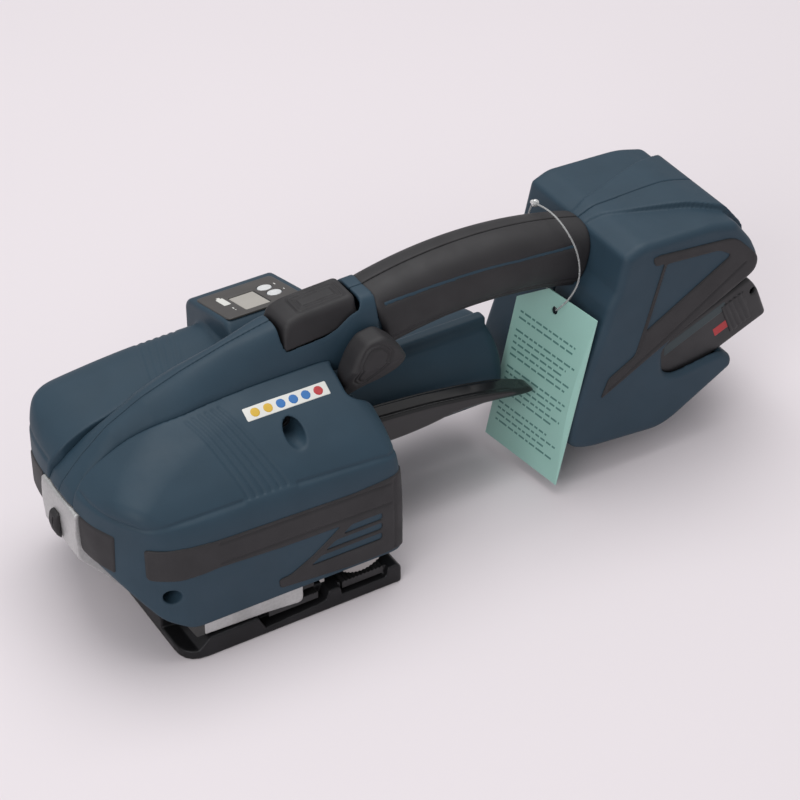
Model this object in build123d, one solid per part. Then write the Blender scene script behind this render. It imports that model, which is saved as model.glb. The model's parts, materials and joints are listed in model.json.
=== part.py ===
from build123d import *
import math
import os

# Cordless strapping tool for plastic strap: a base plate, a head that tensions, welds and
# cuts the strap, a handle with a motor below it, and a rear housing that holds the battery.
# Millimetres.  X runs along the tool from the nose (-X) to the battery (+X), Z is up, and
# Y = 0 is the plane where the two body halves meet.  The strap goes in from the -Y side.
# The origin is on the underside of the base plate, at the middle of its length.

# ------------------------------------------------------------------ driving dimensions
PLATE_HALF = 57.5
PLATE_NEAR = -60.0
PLATE_FAR = 38.0
PLATE_THICK = 11.0
PLATE_CORNER = 12.0
STRAP_Y = -50.0
STRAP_WIDTH = 16.0

WALL = 2.5
GAP = 0.3
RUN = 0.05
SKIN = 0.8

SPINE_HALF = 14.0
HEAD_HALF = 61.0
HEAD_BOTTOM = 18.5
HEAD_REAR = 60.0

GRIP_HALF_WIDTH = 16.5
GRIP_HALF_HEIGHT = 17.5
CORE_HALF_WIDTH = 13.5
CORE_HALF_HEIGHT = 14.5
GRIP_START = (72, 0, 113.3)
GRIP_MID = (125, 0, 120.0)
GRIP_END = (194, 0, 108.8)

REAR_HALF = 42.0
BATTERY_ANGLE = 22.0
BATTERY_CORNER = (284.2, 0, 59.5)
BATTERY_LENGTH = 96.0
BATTERY_HALF = 38.0
BATTERY_HEIGHT = 30.0
RAIL_HALF = 26.0
RAIL_HEIGHT = 8.0
CELL_RADIUS = 10.5
CELL_LENGTH = 70.0
CELL_COUNT = 4

MOTOR_Y = 22.0
MOTOR_Z = 48.0
MOTOR_COVER_RADIUS = 25.0
MOTOR_COVER_START = 61.0
MOTOR_COVER_END = 151.0

ROCKER_PIVOT = (6.0, 48.0)
GEAR_MODULE = 1.3
DRIVE_TEETH = 36
WHEEL_TEETH = 20
WHEEL_DROP = 19.4
WHEEL_RADIUS = 15.4
GEAR_Y = (-28.0, -17.0)
BEVEL_GEAR_RADIUS = 16.0
BEVEL_PINION_RADIUS = 8.0
BEVEL_FACE = 5.0
SHAFT_RADIUS = 5.0

WELD_MOTOR = (-26.0, 58.0)
ECCENTRIC = (-48.5, 34.0)
PULLEY_RADIUS = 7.0
BELT_THICK = 1.4
BELT_SLACK = 1.25
BELT_X = (-28.0, -22.0)
THROW = 1.0
PRESS_TRAVEL = 2.0

WELD_LEVER_PIVOT = (50.0, 84.0)
BUTTON_X = (24.0, 64.0)
BUTTON_HALF = 10.5
BUTTON_TRAVEL = 3.0

PANEL_TILT = 15.0
PANEL_CENTRE = (33.0, 38.5, 113.2)
PANEL_SIZE = (40.0, 35.0)
KEY_RADIUS = 3.6
KEY_TRAVEL = 0.5

TAG_SIZE = (54.0, 92.0)
TAG_THICK = 0.6
TAG_CORNER = (148.5, 10.1, 6.3)
TAG_ACROSS = (0.123, -0.992, -0.004)
TAG_NORMAL = (-0.964, -0.120, 0.235)
TAG_CHAMFER = (19.0, 14.0)
TAG_HOLE = (26.4, 83.6)
TAG_HOLE_RADIUS = 2.2
LOOP_RADIUS = 0.45

os.makedirs("parts", exist_ok=True)


# ------------------------------------------------------------------ shape helpers
def block(x, y, z):
    """A box from three (low, high) pairs."""
    size = [high - low for low, high in (x, y, z)]
    centre = [(high + low) / 2 for low, high in (x, y, z)]
    return Pos(*centre) * Box(*size)


def outline(points, inset=0.0, corner=0.0):
    """A closed flat face, optionally shrunk by inset and with rounded corners."""
    face = make_face(Polyline(*points, close=True))
    if inset:
        face = offset(face, amount=-inset, kind=Kind.INTERSECTION)
    if corner:
        face = fillet(face.vertices(), corner)
    return face


def side_prism(points, y, inset=0.0, corner=0.0):
    """An (x, z) outline extruded between two y values."""
    face = Plane.XZ.offset(-y[1]) * outline(points, inset, corner)
    return extrude(face, amount=y[1] - y[0])


def plan_prism(points, z, inset=0.0, corner=0.0):
    """An (x, y) outline extruded between two z values."""
    face = Plane.XY.offset(z[0]) * outline(points, inset, corner)
    return extrude(face, amount=z[1] - z[0])


def end_prism(points, x, inset=0.0, corner=0.0):
    """A (y, z) outline extruded between two x values."""
    face = Plane.YZ.offset(x[0]) * outline(points, inset, corner)
    return extrude(face, amount=x[1] - x[0])


def rod_y(centre, radius, y):
    """A round bar along Y, centre given as (x, z)."""
    bar = Rot(90, 0, 0) * Cylinder(radius, y[1] - y[0])
    return Pos(centre[0], (y[0] + y[1]) / 2, centre[1]) * bar


def rod_x(centre, radius, x):
    """A round bar along X, centre given as (y, z)."""
    bar = Rot(0, 90, 0) * Cylinder(radius, x[1] - x[0])
    return Pos((x[0] + x[1]) / 2, centre[0], centre[1]) * bar


def rod_z(centre, radius, z):
    """A round bar along Z, centre given as (x, y)."""
    return Pos(centre[0], centre[1], (z[0] + z[1]) / 2) * Cylinder(radius, z[1] - z[0])


def ring_y(centre, outer, inner, y):
    return rod_y(centre, outer, y) - rod_y(centre, inner, (y[0] - 1, y[1] + 1))


def main_solid(shape):
    """The largest solid of a cut shape."""
    return shape.solids().sort_by(SortBy.VOLUME)[-1]


def mirrored(shape):
    return mirror(shape, about=Plane.XZ)


def save(name, *solids):
    """Write one node; several solids in a node stay separate."""
    shape = solids[0] if len(solids) == 1 else Compound(children=list(solids))
    export_step(shape, f"parts/{name}.step")


# ------------------------------------------------------------------ base plate
PLATE_POCKETS = {"gripper": (26.0, 48.0), "anvil": (-13.0, 13.0)}
POCKET_Y = (STRAP_Y - STRAP_WIDTH / 2, STRAP_Y + STRAP_WIDTH / 2)
POCKET_DEPTH = 3.0
FRAME_SCREWS = [(-44.0, 12.0), (-44.0, 30.0), (46.0, 12.0), (46.0, 30.0)]
SCREW_RADIUS = 2.5
SCREW_HEAD_RADIUS = 4.5


def make_base_plate():
    plan = [
        (-PLATE_HALF, PLATE_NEAR),
        (PLATE_HALF, PLATE_NEAR),
        (PLATE_HALF, PLATE_FAR),
        (-PLATE_HALF, PLATE_FAR),
    ]
    plate = plan_prism(plan, (0, PLATE_THICK))
    front_near = plate.edges().filter_by(Axis.Z).sort_by(lambda e: e.center().X + e.center().Y)[0]
    plate = fillet(front_near, PLATE_CORNER)
    for low, high in PLATE_POCKETS.values():
        plate -= block((low, high), POCKET_Y, (PLATE_THICK - POCKET_DEPTH, PLATE_THICK + 1))
    near_edge_notches = [(16.0, 24.0), (-30.0, -20.0)]
    for low, high in near_edge_notches:
        plate -= block((low, high), (PLATE_NEAR - 1, PLATE_NEAR + 3), (4, PLATE_THICK + 1))
    edge_bevel = [(PLATE_NEAR - 1, 6), (PLATE_NEAR - 1, 12), (PLATE_NEAR + 5, 12)]
    plate -= end_prism(edge_bevel, (-PLATE_HALF - 1, -32))
    for centre in FRAME_SCREWS:
        plate -= rod_z(centre, SCREW_RADIUS, (-1, PLATE_THICK + 1))
        plate -= rod_z(centre, SCREW_HEAD_RADIUS, (-1, 4))
    return plate


def make_toothed_insert(span, top, pitch):
    """A hardened insert in a plate pocket, with a row of saw teeth across the strap."""
    low, high = span
    floor = PLATE_THICK - POCKET_DEPTH
    points = [(low, floor), (high, floor)]
    count = int((high - low) / pitch)
    for tooth in range(count):
        x = high - tooth * pitch
        points.append((x, top - 0.8))
        points.append((x - 0.25 * pitch, top))
    points.append((low, top - 0.8))
    return side_prism(points, (POCKET_Y[0], POCKET_Y[1]))


save("base_plate", make_base_plate())
save("gripper_insert", make_toothed_insert(PLATE_POCKETS["gripper"], PLATE_THICK + 1.2, 2.0))
save("weld_anvil", make_toothed_insert(PLATE_POCKETS["anvil"], PLATE_THICK + 1.0, 1.3))
save("frame_screws", *[
    rod_z(c, SCREW_RADIUS, (4, 26)) + rod_z(c, SCREW_HEAD_RADIUS - 0.2, (0.5, 4))
    for c in FRAME_SCREWS
])

# ------------------------------------------------------------------ cast frame
WALL_Y = (-4.0, 4.0)
HUB_RADIUS = 8.0
BEARING_RADIUS = 13.0
LEVER_PIN_RADIUS = 3.0


def make_gear_frame():
    """The casting: a wall on a foot."""
    wall = [
        (-72, 34), (-50, PLATE_THICK), (54, PLATE_THICK), (54, 88), (40, 92), (0, 88), (-30, 78),
        (-66, 62),
    ]
    frame = side_prism(wall, WALL_Y)
    frame += block((-52, 54), (-4, 36), (PLATE_THICK, 17))
    frame -= rod_y(ROCKER_PIVOT, BEARING_RADIUS, (-5, 5))
    frame -= rod_y(WELD_LEVER_PIVOT, LEVER_PIN_RADIUS, (-5, 5))
    for centre in FRAME_SCREWS:
        frame -= rod_z(centre, SCREW_RADIUS, (PLATE_THICK - 1, 26))
    return frame


def make_strap_guide():
    """The cast foot beside the frame wall that the strap passes under."""
    guide = [(-55, 22), (-50, 12.5), (-15, 12.5), (-15, 20), (-50, 26)]
    return side_prism(guide, (-58, WALL_Y[0]), corner=1.2)


def make_nose_plate():
    """The bare aluminium nose piece that closes the front of the head."""
    side = [(-87.5, 46), (-88.5, 60), (-87.8, 71), (-80, 71), (-76, 60), (-66, 40), (-56, 22),
            (-60, 14), (-64, 16), (-76, 32)]
    plate = side_prism(side, (-13.7, 13.7))
    return plate - block((-73, -40), (-4.3, 4.3), (10, 66))


save("gear_frame", make_gear_frame(), make_strap_guide())
save("nose_plate", make_nose_plate())
save("nose_lug", side_prism([(-91, 47), (-88.2, 47), (-88.9, 61), (-91, 60), (-92.5, 54)], (-5, 5)))

# ------------------------------------------------------------------ tensioning drive
WHEEL_RUN = math.sqrt((GEAR_MODULE * (DRIVE_TEETH + WHEEL_TEETH) / 2) ** 2 - WHEEL_DROP ** 2)
WHEEL_CENTRE = (ROCKER_PIVOT[0] + WHEEL_RUN, ROCKER_PIVOT[1] - WHEEL_DROP)
MESH_ANGLE = math.degrees(math.atan2(-WHEEL_DROP, WHEEL_RUN))
CHEEKS_Y = ((-38.0, -32.0), (-15.5, -11.0))


def gear_points(centre, teeth, tooth_angle):
    """A gear outline: straight-sided teeth with backlash, one tooth at tooth_angle degrees."""
    pitch = GEAR_MODULE * teeth / 2
    tip = pitch + 0.8 * GEAR_MODULE
    root = pitch - 1.1 * GEAR_MODULE
    step = 360 / teeth
    corners = [(root, -0.34), (tip, -0.13), (tip, 0.13), (root, 0.34)]
    points = []
    for tooth in range(teeth):
        for radius, share in corners:
            angle = math.radians(tooth_angle + (tooth + share) * step)
            points.append((centre[0] + radius * math.cos(angle), centre[1] + radius * math.sin(angle)))
    return points


def make_drive_gear():
    gear = side_prism(gear_points(ROCKER_PIVOT, DRIVE_TEETH, MESH_ANGLE), GEAR_Y)
    gear += rod_y(ROCKER_PIVOT, HUB_RADIUS, (GEAR_Y[1], 14))
    return gear - rod_y(ROCKER_PIVOT, SHAFT_RADIUS + RUN, (-40, 20))


def make_bevel(base_radius, axis):
    """A bevel gear's pitch cone, from its large end towards the apex."""
    pitch_ratio = BEVEL_GEAR_RADIUS / BEVEL_PINION_RADIUS
    clear = 0.25
    if axis == "Y":
        small = base_radius - BEVEL_FACE * 0.5 * pitch_ratio
        cone = Cone(base_radius - clear, small - clear, BEVEL_FACE * 0.5)
        centre = (ROCKER_PIVOT[0], MOTOR_Y - BEVEL_PINION_RADIUS + BEVEL_FACE * 0.25, ROCKER_PIVOT[1])
        return Pos(*centre) * Rot(-90, 0, 0) * cone
    small = base_radius - BEVEL_FACE / pitch_ratio
    cone = Cone(small - clear, base_radius - clear, BEVEL_FACE)
    centre = (ROCKER_PIVOT[0] + BEVEL_GEAR_RADIUS - BEVEL_FACE / 2, MOTOR_Y, MOTOR_Z)
    return Pos(*centre) * Rot(0, 90, 0) * cone


BEVEL_LARGE_Y = MOTOR_Y - BEVEL_PINION_RADIUS
bevel_gear = make_bevel(BEVEL_GEAR_RADIUS, "Y")
bevel_gear += rod_y(ROCKER_PIVOT, BEVEL_GEAR_RADIUS - 0.25, (BEVEL_LARGE_Y - 4, BEVEL_LARGE_Y))
bevel_gear -= rod_y(ROCKER_PIVOT, HUB_RADIUS, (0, 14))
bevel_gear -= rod_y(ROCKER_PIVOT, SHAFT_RADIUS + RUN, (0, 20))
pinion_start = ROCKER_PIVOT[0] + BEVEL_GEAR_RADIUS
bevel_pinion = make_bevel(BEVEL_PINION_RADIUS, "X")
bevel_pinion += rod_x((MOTOR_Y, MOTOR_Z), BEVEL_PINION_RADIUS - 0.25, (pinion_start, pinion_start + 4))
bevel_pinion += rod_x((MOTOR_Y, MOTOR_Z), 4, (pinion_start + 4, 70))

save("drive_gear", make_drive_gear())
save("drive_bearing", ring_y(ROCKER_PIVOT, BEARING_RADIUS, HUB_RADIUS + RUN, WALL_Y))
save("bevel_gear", bevel_gear)
save("bevel_pinion", bevel_pinion)
save("rocker_shaft", rod_y(ROCKER_PIVOT, SHAFT_RADIUS, (-41, 21)))

# Tension rocker: two cheeks joined by a yoke behind the gear.  It carries the wheel.
YOKE_X = (46.0, 57.0)


def make_tension_rocker():
    arm = [(-4, 48), (2, 38), (28, 20), (45, 19), (52, 34), (57, 50), (57, 63), (46, 66), (14, 58)]
    rocker = side_prism(arm, CHEEKS_Y[0], corner=3)
    rocker += side_prism(arm, CHEEKS_Y[1], corner=3)
    rocker += block(YOKE_X, (CHEEKS_Y[0][0], CHEEKS_Y[1][1]), (51, 62))
    rocker -= block((20, YOKE_X[0] + 6), (CHEEKS_Y[0][1], CHEEKS_Y[1][0]), (0, 46))
    for radius, centre in ((SHAFT_RADIUS + RUN, ROCKER_PIVOT), (SHAFT_RADIUS + RUN, WHEEL_CENTRE)):
        rocker -= rod_y(centre, radius, (-60, 0))
    return rocker - rod_y(ROCKER_PIVOT, HUB_RADIUS + RUN, (CHEEKS_Y[1][0] - 1, 0))


def make_tension_wheel():
    """The knurled wheel that pulls the strap."""
    knurls = 48
    points = []
    for tooth in range(2 * knurls):
        radius = WHEEL_RADIUS if tooth % 2 == 0 else WHEEL_RADIUS - 0.6
        angle = math.pi * tooth / knurls
        points.append((
            WHEEL_CENTRE[0] + radius * math.cos(angle),
            WHEEL_CENTRE[1] + radius * math.sin(angle),
        ))
    wheel = side_prism(points, (STRAP_Y - 7, STRAP_Y + 7))
    return wheel - rod_y(WHEEL_CENTRE, SHAFT_RADIUS, (-60, -40))


wheel_gear = side_prism(gear_points(WHEEL_CENTRE, WHEEL_TEETH, MESH_ANGLE + 180 + 9), GEAR_Y)
save("tension_rocker", make_tension_rocker())
save("tension_wheel", make_tension_wheel())
save("wheel_shaft", rod_y(WHEEL_CENTRE, SHAFT_RADIUS, (-58, -9)))
save("wheel_gear", wheel_gear - rod_y(WHEEL_CENTRE, SHAFT_RADIUS, GEAR_Y))

# Rocker lever: the glossy paddle that the fingers pull up to open the tensioning gap.
LEVER_Y = (-21.0, -8.0)
LEVER_SIDE = [
    (57.3, 52), (70, 50), (86, 50), (99, 51), (111, 53), (125, 52.2), (142, 49.5), (154, 46),
    (157, 47), (155, 50), (142, 54.5), (120, 60), (98, 63), (78, 65), (64, 66), (57.3, 64),
]
lever = side_prism(LEVER_SIDE, LEVER_Y)
save("rocker_lever", lever)

# ------------------------------------------------------------------ tension motor
CAN_X = (86.0, 140.0)
CAN_RADIUS = 20.0
motor_can = rod_x((MOTOR_Y, MOTOR_Z), CAN_RADIUS, CAN_X)
motor_can -= rod_x((MOTOR_Y, MOTOR_Z), CAN_RADIUS - 4, (CAN_X[0] + 2, CAN_X[1] - 2))
motor_can -= rod_x((MOTOR_Y, MOTOR_Z), 3, (CAN_X[0] - 1, CAN_X[1] + 1))
motor_rotor = rod_x((MOTOR_Y, MOTOR_Z), CAN_RADIUS - 4.6, (CAN_X[0] + 4, CAN_X[1] - 4))
motor_rotor += rod_x((MOTOR_Y, MOTOR_Z), 2.9, (CAN_X[0] - 6, CAN_X[1]))
gearbox = rod_x((MOTOR_Y, MOTOR_Z), CAN_RADIUS + 1.5, (63, CAN_X[0]))
gearbox -= rod_x((MOTOR_Y, MOTOR_Z), CAN_RADIUS - 1.5, (66, CAN_X[0] + 1))
gearbox -= rod_x((MOTOR_Y, MOTOR_Z), 4 + RUN, (60, 67))
save("tension_motor_can", motor_can)
save("tension_motor_rotor", motor_rotor)
save("gearbox_housing", gearbox)

# ------------------------------------------------------------------ welding unit
WELD_MOTOR_X = (-64.0, -32.0)
WELD_CAN_RADIUS = 14.0
weld_can = rod_x(WELD_MOTOR, WELD_CAN_RADIUS, WELD_MOTOR_X)
weld_can -= rod_x(WELD_MOTOR, WELD_CAN_RADIUS - 3, (WELD_MOTOR_X[0] + 2, WELD_MOTOR_X[1] - 2))
weld_can -= rod_x(WELD_MOTOR, 2.6, (WELD_MOTOR_X[1] - 3, WELD_MOTOR_X[1] + 1))
weld_rotor = rod_x(WELD_MOTOR, WELD_CAN_RADIUS - 3.6, (WELD_MOTOR_X[0] + 4, WELD_MOTOR_X[1] - 4))
weld_rotor += rod_x(WELD_MOTOR, 2.5, (WELD_MOTOR_X[1] - 4, BELT_X[1] + 1))
motor_pulley = rod_x(WELD_MOTOR, PULLEY_RADIUS, BELT_X) - rod_x(WELD_MOTOR, 2.5, (-32, 0))
save("weld_motor_can", weld_can)
save("weld_motor_rotor", weld_rotor)
save("motor_pulley", motor_pulley)

ECC_SHAFT = 4.0
eccentric_shaft = rod_x(ECCENTRIC, ECC_SHAFT, (BELT_X[0] - 1, 9))
eccentric_shaft += rod_x((ECCENTRIC[0], ECCENTRIC[1] + THROW), ECC_SHAFT + THROW, (9, 13))
save("eccentric_shaft", eccentric_shaft)
save("eccentric_pulley", rod_x(ECCENTRIC, PULLEY_RADIUS, BELT_X) - rod_x(ECCENTRIC, ECC_SHAFT, (-30, 0)))


def make_belt():
    """The flat loop round the two equal pulleys, slack enough for the carrier's travel."""
    low_end = (ECCENTRIC[0], ECCENTRIC[1] - PRESS_TRAVEL / 2)
    run = math.dist(WELD_MOTOR, low_end)
    turn = math.degrees(math.atan2(WELD_MOTOR[1] - low_end[1], WELD_MOTOR[0] - low_end[0]))
    inner_radius = PULLEY_RADIUS + BELT_SLACK
    outer_face = SlotCenterToCenter(run, 2 * (inner_radius + BELT_THICK))
    inner_face = SlotCenterToCenter(run, 2 * inner_radius)
    middle = Vector(BELT_X[0], (WELD_MOTOR[0] + low_end[0]) / 2, (WELD_MOTOR[1] + low_end[1]) / 2)
    plane = Plane(origin=middle, x_dir=(0, 1, 0), z_dir=(1, 0, 0))
    return extrude(plane * Rot(0, 0, turn) * (outer_face - inner_face), amount=BELT_X[1] - BELT_X[0])


save("weld_belt", make_belt())

CARRIER_X = (-13.0, 8.0)
FORK_X = (9.4, 12.6)
FORK_INNER = 6.4
FORK_OUTER = 7.4
carrier = block(CARRIER_X, (-57, -43), (24, 46))
carrier -= rod_x(ECCENTRIC, ECC_SHAFT + RUN, (-20, 20))
shoe = block((-12, 12), (-56, -44), (PLATE_THICK + 3.2, 23.6))
fork = block(FORK_X, (ECCENTRIC[0] - FORK_OUTER, ECCENTRIC[0] + FORK_OUTER), (21, 43))
fork -= block((0, 20), (ECCENTRIC[0] - FORK_INNER, ECCENTRIC[0] + FORK_INNER), (26.5, 50))
save("weld_carrier", carrier)
save("weld_shoe", shoe + fork)
save("cutter_blade", side_prism([(15, 15.5), (17, 15.5), (17, 36), (14, 36), (14, 18)], (-57, -43)))

# ------------------------------------------------------------------ head covers
HEAD_SIDE = [
    (-84, 52), (-85.5, 68), (-83, 79), (-72, 90), (-58, 98), (-40, 104), (-18, 108.5), (6, 110.5),
    (40, 111), (50, 107), (HEAD_REAR - 2, 88), (HEAD_REAR, 70), (HEAD_REAR, HEAD_BOTTOM),
    (-52, HEAD_BOTTOM), (-66, 27),
]
HEAD_PLAN = [
    (-86, -SPINE_HALF), (-82, -22), (-71, -41), (-58, -53), (-44, -59.5), (-30, -HEAD_HALF),
    (50, -HEAD_HALF), (HEAD_REAR, -57), (HEAD_REAR, -SPINE_HALF),
]
HEAD_END = [
    (-SPINE_HALF, 111), (-SPINE_HALF - 4, 107), (-36, 95), (-50, 84), (-57, 76), (-60.5, 68),
    (-61, 45), (-59.5, HEAD_BOTTOM), (-SPINE_HALF, HEAD_BOTTOM),
]
FAR_SIDE = [
    (-84, 52), (-85.5, 68), (-84, 80), (-78, 91), (-66, 100), (-42, 104), (-18, 108.5), (6, 110.5),
    (40, 111), (50, 107), (HEAD_REAR - 2, 88), (HEAD_REAR, 70), (HEAD_REAR, HEAD_BOTTOM),
    (-52, HEAD_BOTTOM), (-66, 27),
]
FAR_PLAN = [
    (-86.5, -SPINE_HALF), (-83.5, -26), (-77, -40), (-67, -51), (-54, -59), (-36, -62),
    (50, -62), (HEAD_REAR, -58), (HEAD_REAR, -SPINE_HALF),
]
FAR_END = [
    (-SPINE_HALF, 111), (-30, 106), (-44, 98), (-54, 88), (-60, 77), (-62, 64),
    (-61, 45), (-59.5, HEAD_BOTTOM), (-SPINE_HALF, HEAD_BOTTOM),
]
LEVER_SLOT = {"x": (52, 64), "y": (-23, -6), "z": (45, 80)}
LEVER_NOTCH = {"x": (44, 62), "y": (-35, -13), "z": (82, 115)}
COVER_SCREWS = [((13.5, 91.7), (-34, -22)), ((-58, 40), (-50, -40))]
SCREW_RADIUS_COVER = 2.0


def head_solid(outlines, inset):
    """A head cover's outside on the near side, from its side, plan and end outlines."""
    side_points, plan_points, end_points = outlines
    side = side_prism(side_points, (-HEAD_HALF - 5, -SPINE_HALF + 1), inset)
    plan = plan_prism(plan_points, (0, 130), inset)
    return side & plan & end_prism(end_points, (-100, 70), inset)


def make_head_cover(outlines):
    """A cover: a shell that is open towards the spine and at the bottom."""
    cover = head_solid(outlines, 0) - head_solid(outlines, WALL)
    lower_room = block((-70, HEAD_REAR - WALL), (-HEAD_HALF + WALL, -SPINE_HALF + 2), (15, 50))
    cover -= lower_room & head_solid(outlines, 0)
    inward = block((-82, HEAD_REAR - WALL), (-24, 0), (21, 92))
    cover = main_solid(cover - inward)
    for centre, depth in COVER_SCREWS:
        cover -= rod_y(centre, SCREW_RADIUS_COVER * 1.7, (-70, depth[0] + 3))
        cover -= rod_y(centre, SCREW_RADIUS_COVER, depth)
    return cover


NEAR_OUTLINES = (HEAD_SIDE, HEAD_PLAN, HEAD_END)
FAR_OUTLINES = (FAR_SIDE, FAR_PLAN, FAR_END)
near_cover = make_head_cover(NEAR_OUTLINES)
far_cover = mirrored(make_head_cover(FAR_OUTLINES))
near_cover -= block(LEVER_SLOT["x"], LEVER_SLOT["y"], LEVER_SLOT["z"])
near_cover -= block(LEVER_NOTCH["x"], LEVER_NOTCH["y"], LEVER_NOTCH["z"])
save("head_cover_near", near_cover)

BOX_SIDE = [(11, 80), (11, 119), (57, 119), (57, 80)]
BOX_END = [(17, 90), (17, 112), (22, 116.5), (26, 116.5), (61.5, 107), (64, 103), (64, 80), (61.2, 72)]
panel_box = side_prism(BOX_SIDE, (15, 66), corner=3) & end_prism(BOX_END, (0, 80), corner=2)
panel_room = side_prism(BOX_SIDE, (15, 66), WALL) & end_prism(BOX_END, (0, 80), WALL)
panel_box -= panel_room + mirrored(head_solid(FAR_OUTLINES, 0))
motor_hole = rod_x((MOTOR_Y, MOTOR_Z), MOTOR_COVER_RADIUS + GAP, (50, 80))
save("head_cover_far", main_solid(far_cover - motor_hole - panel_room + panel_box))

# ------------------------------------------------------------------ control panel
PANEL_PLANE = Plane(origin=PANEL_CENTRE, x_dir=(1, 0, 0),
                    z_dir=(0, math.sin(math.radians(PANEL_TILT)), math.cos(math.radians(PANEL_TILT))))
KEY_PLACES = [(10.6, 5.3), (11.2, -3.9)]
SCREEN = (-1.8, -2.6, 13.0, 17.0)


def on_panel(face, low, high):
    """A face on the panel, extruded between two heights above it."""
    return extrude(PANEL_PLANE.offset(low) * face, amount=high - low)


panel_face = RectangleRounded(PANEL_SIZE[0], PANEL_SIZE[1], 3)
screen_face = Pos(SCREEN[0], SCREEN[1], 0) * RectangleRounded(SCREEN[2], SCREEN[3], 1.2)
overlay = on_panel(panel_face, 0, SKIN) - on_panel(screen_face, -1, 2)
for place in KEY_PLACES:
    overlay -= on_panel(Pos(*place, 0) * Circle(KEY_RADIUS + 0.2), -1, 2)
save("panel_overlay", overlay)
save("display_window", on_panel(screen_face, 0, SKIN - 0.1))
for name, place in zip(("set_key", "mode_key"), KEY_PLACES):
    save(name, on_panel(Pos(*place, 0) * Circle(KEY_RADIUS), KEY_TRAVEL + 0.1, 2.0))
save("control_board", on_panel(Rectangle(30, 24), -6.0, -4.4))

# ------------------------------------------------------------------ body shell halves
SPINE_SIDE = [
    (-88, 71.5), (-84.7, 78.5), (-75, 88.9), (-61.7, 100), (-43.7, 109.3), (-23.2, 116.5),
    (0, 122.9), (19.2, 127), (40, 130), (72, 130.8), (72, 99), (40, 97), (4, 93), (-30, 83),
    (-70, 66), (-76, 71.5),
]
REAR_SIDE = [
    (163, 28), (167, 22), (176, 18.5), (217, 14.7), (224, 16.5), (262, 37.5), (261.5, 44),
    (254, 49.5), (224, 46), (219, 50), (218, 64.6), (272.7, 92.5), (272, 107), (259, 124),
    (240, 129), (200, 131.5), (194, 126), (183, 95), (166, 46),
]
GRIP_PATH = ThreePointArc(GRIP_START, GRIP_MID, GRIP_END)


def grip_tube(half_width, half_height, low=0.0, high=1.0):
    """The oval bar of the handle between two places along its arc."""
    path = GRIP_PATH.trim(low, high) if (low, high) != (0.0, 1.0) else GRIP_PATH
    start = path @ 0
    plane = Plane(origin=start, x_dir=(0, 1, 0), z_dir=path % 0)
    return sweep(plane * Ellipse(half_width, half_height), path)


def battery_box(along, across, up):
    """A box in the battery's own directions: along the slide, across Y, and up."""
    shape = block(along, across, up)
    return Pos(*BATTERY_CORNER) * Rot(0, -BATTERY_ANGLE, 0) * shape


def make_body_half():
    """The near half, from the spine through the handle to the rear housing."""
    reach = (-SPINE_HALF, 0)
    spine = side_prism(SPINE_SIDE, reach) - side_prism(SPINE_SIDE, (-SPINE_HALF + WALL, 1), WALL)
    spine -= block((BUTTON_X[0] - GAP, BUTTON_X[1] + GAP), (-BUTTON_HALF - GAP, 1), (110, 140))
    rear = side_prism(REAR_SIDE, (-REAR_HALF, 0))
    rear -= side_prism(REAR_SIDE, (-REAR_HALF + WALL, 1), WALL)
    rear -= battery_box((-BATTERY_LENGTH - 1, 60), (-BATTERY_HALF - 1, 1), (-1, BATTERY_HEIGHT + 1))
    rear -= battery_box((-BATTERY_LENGTH - 1, 60), (-RAIL_HALF - 1, 1), (0, BATTERY_HEIGHT + RAIL_HEIGHT + 1))
    core = grip_tube(CORE_HALF_WIDTH, CORE_HALF_HEIGHT) & block((0, 300), (-50, 0), (0, 200))
    half = spine + core + rear
    half -= grip_tube(CORE_HALF_WIDTH - WALL, CORE_HALF_HEIGHT - WALL)
    return half


near_half = make_body_half()
save("body_shell_near", near_half)
save("body_shell_far", mirrored(near_half))

grip = grip_tube(GRIP_HALF_WIDTH, GRIP_HALF_HEIGHT, 0.05, 0.92)
grip -= grip_tube(CORE_HALF_WIDTH, CORE_HALF_HEIGHT)
save("grip_near", grip & block((0, 300), (-50, 0), (0, 200)))
save("grip_far", grip & block((0, 300), (0, 50), (0, 200)))

# ------------------------------------------------------------------ motor cover
motor_cover = rod_x((MOTOR_Y, MOTOR_Z), MOTOR_COVER_RADIUS, (MOTOR_COVER_START, MOTOR_COVER_END))
motor_cover = fillet(motor_cover.edges().sort_by(Axis.X)[-1], 7)
motor_cover -= rod_x((MOTOR_Y, MOTOR_Z), MOTOR_COVER_RADIUS - WALL, (MOTOR_COVER_START - 1, MOTOR_COVER_END - WALL))
save("motor_cover", motor_cover)

# ------------------------------------------------------------------ tension button
BUTTON_SIDE = [
    (BUTTON_X[0], 120.5), (BUTTON_X[1], 123.5), (BUTTON_X[1], 134), (BUTTON_X[0], 131),
]
BUTTON_STEM_X = 44.0
BUTTON_STEM_RADIUS = 3.0
SWITCH_TOP = 106.5
button = side_prism(BUTTON_SIDE, (-BUTTON_HALF, BUTTON_HALF), corner=2.5)
button += rod_z((BUTTON_STEM_X, 0), BUTTON_STEM_RADIUS, (SWITCH_TOP + BUTTON_TRAVEL + 0.4, 122))
button_spring = rod_z((BUTTON_STEM_X, 0), 5, (SWITCH_TOP, 121.5))
button_spring -= rod_z((BUTTON_STEM_X, 0), 4, (SWITCH_TOP - 1, 123))
button_spring -= button
save("tension_button", button)
save("button_spring", button_spring)
save("button_switch", block((38, 50), (-5, 5), (100.2, SWITCH_TOP)))

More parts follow.
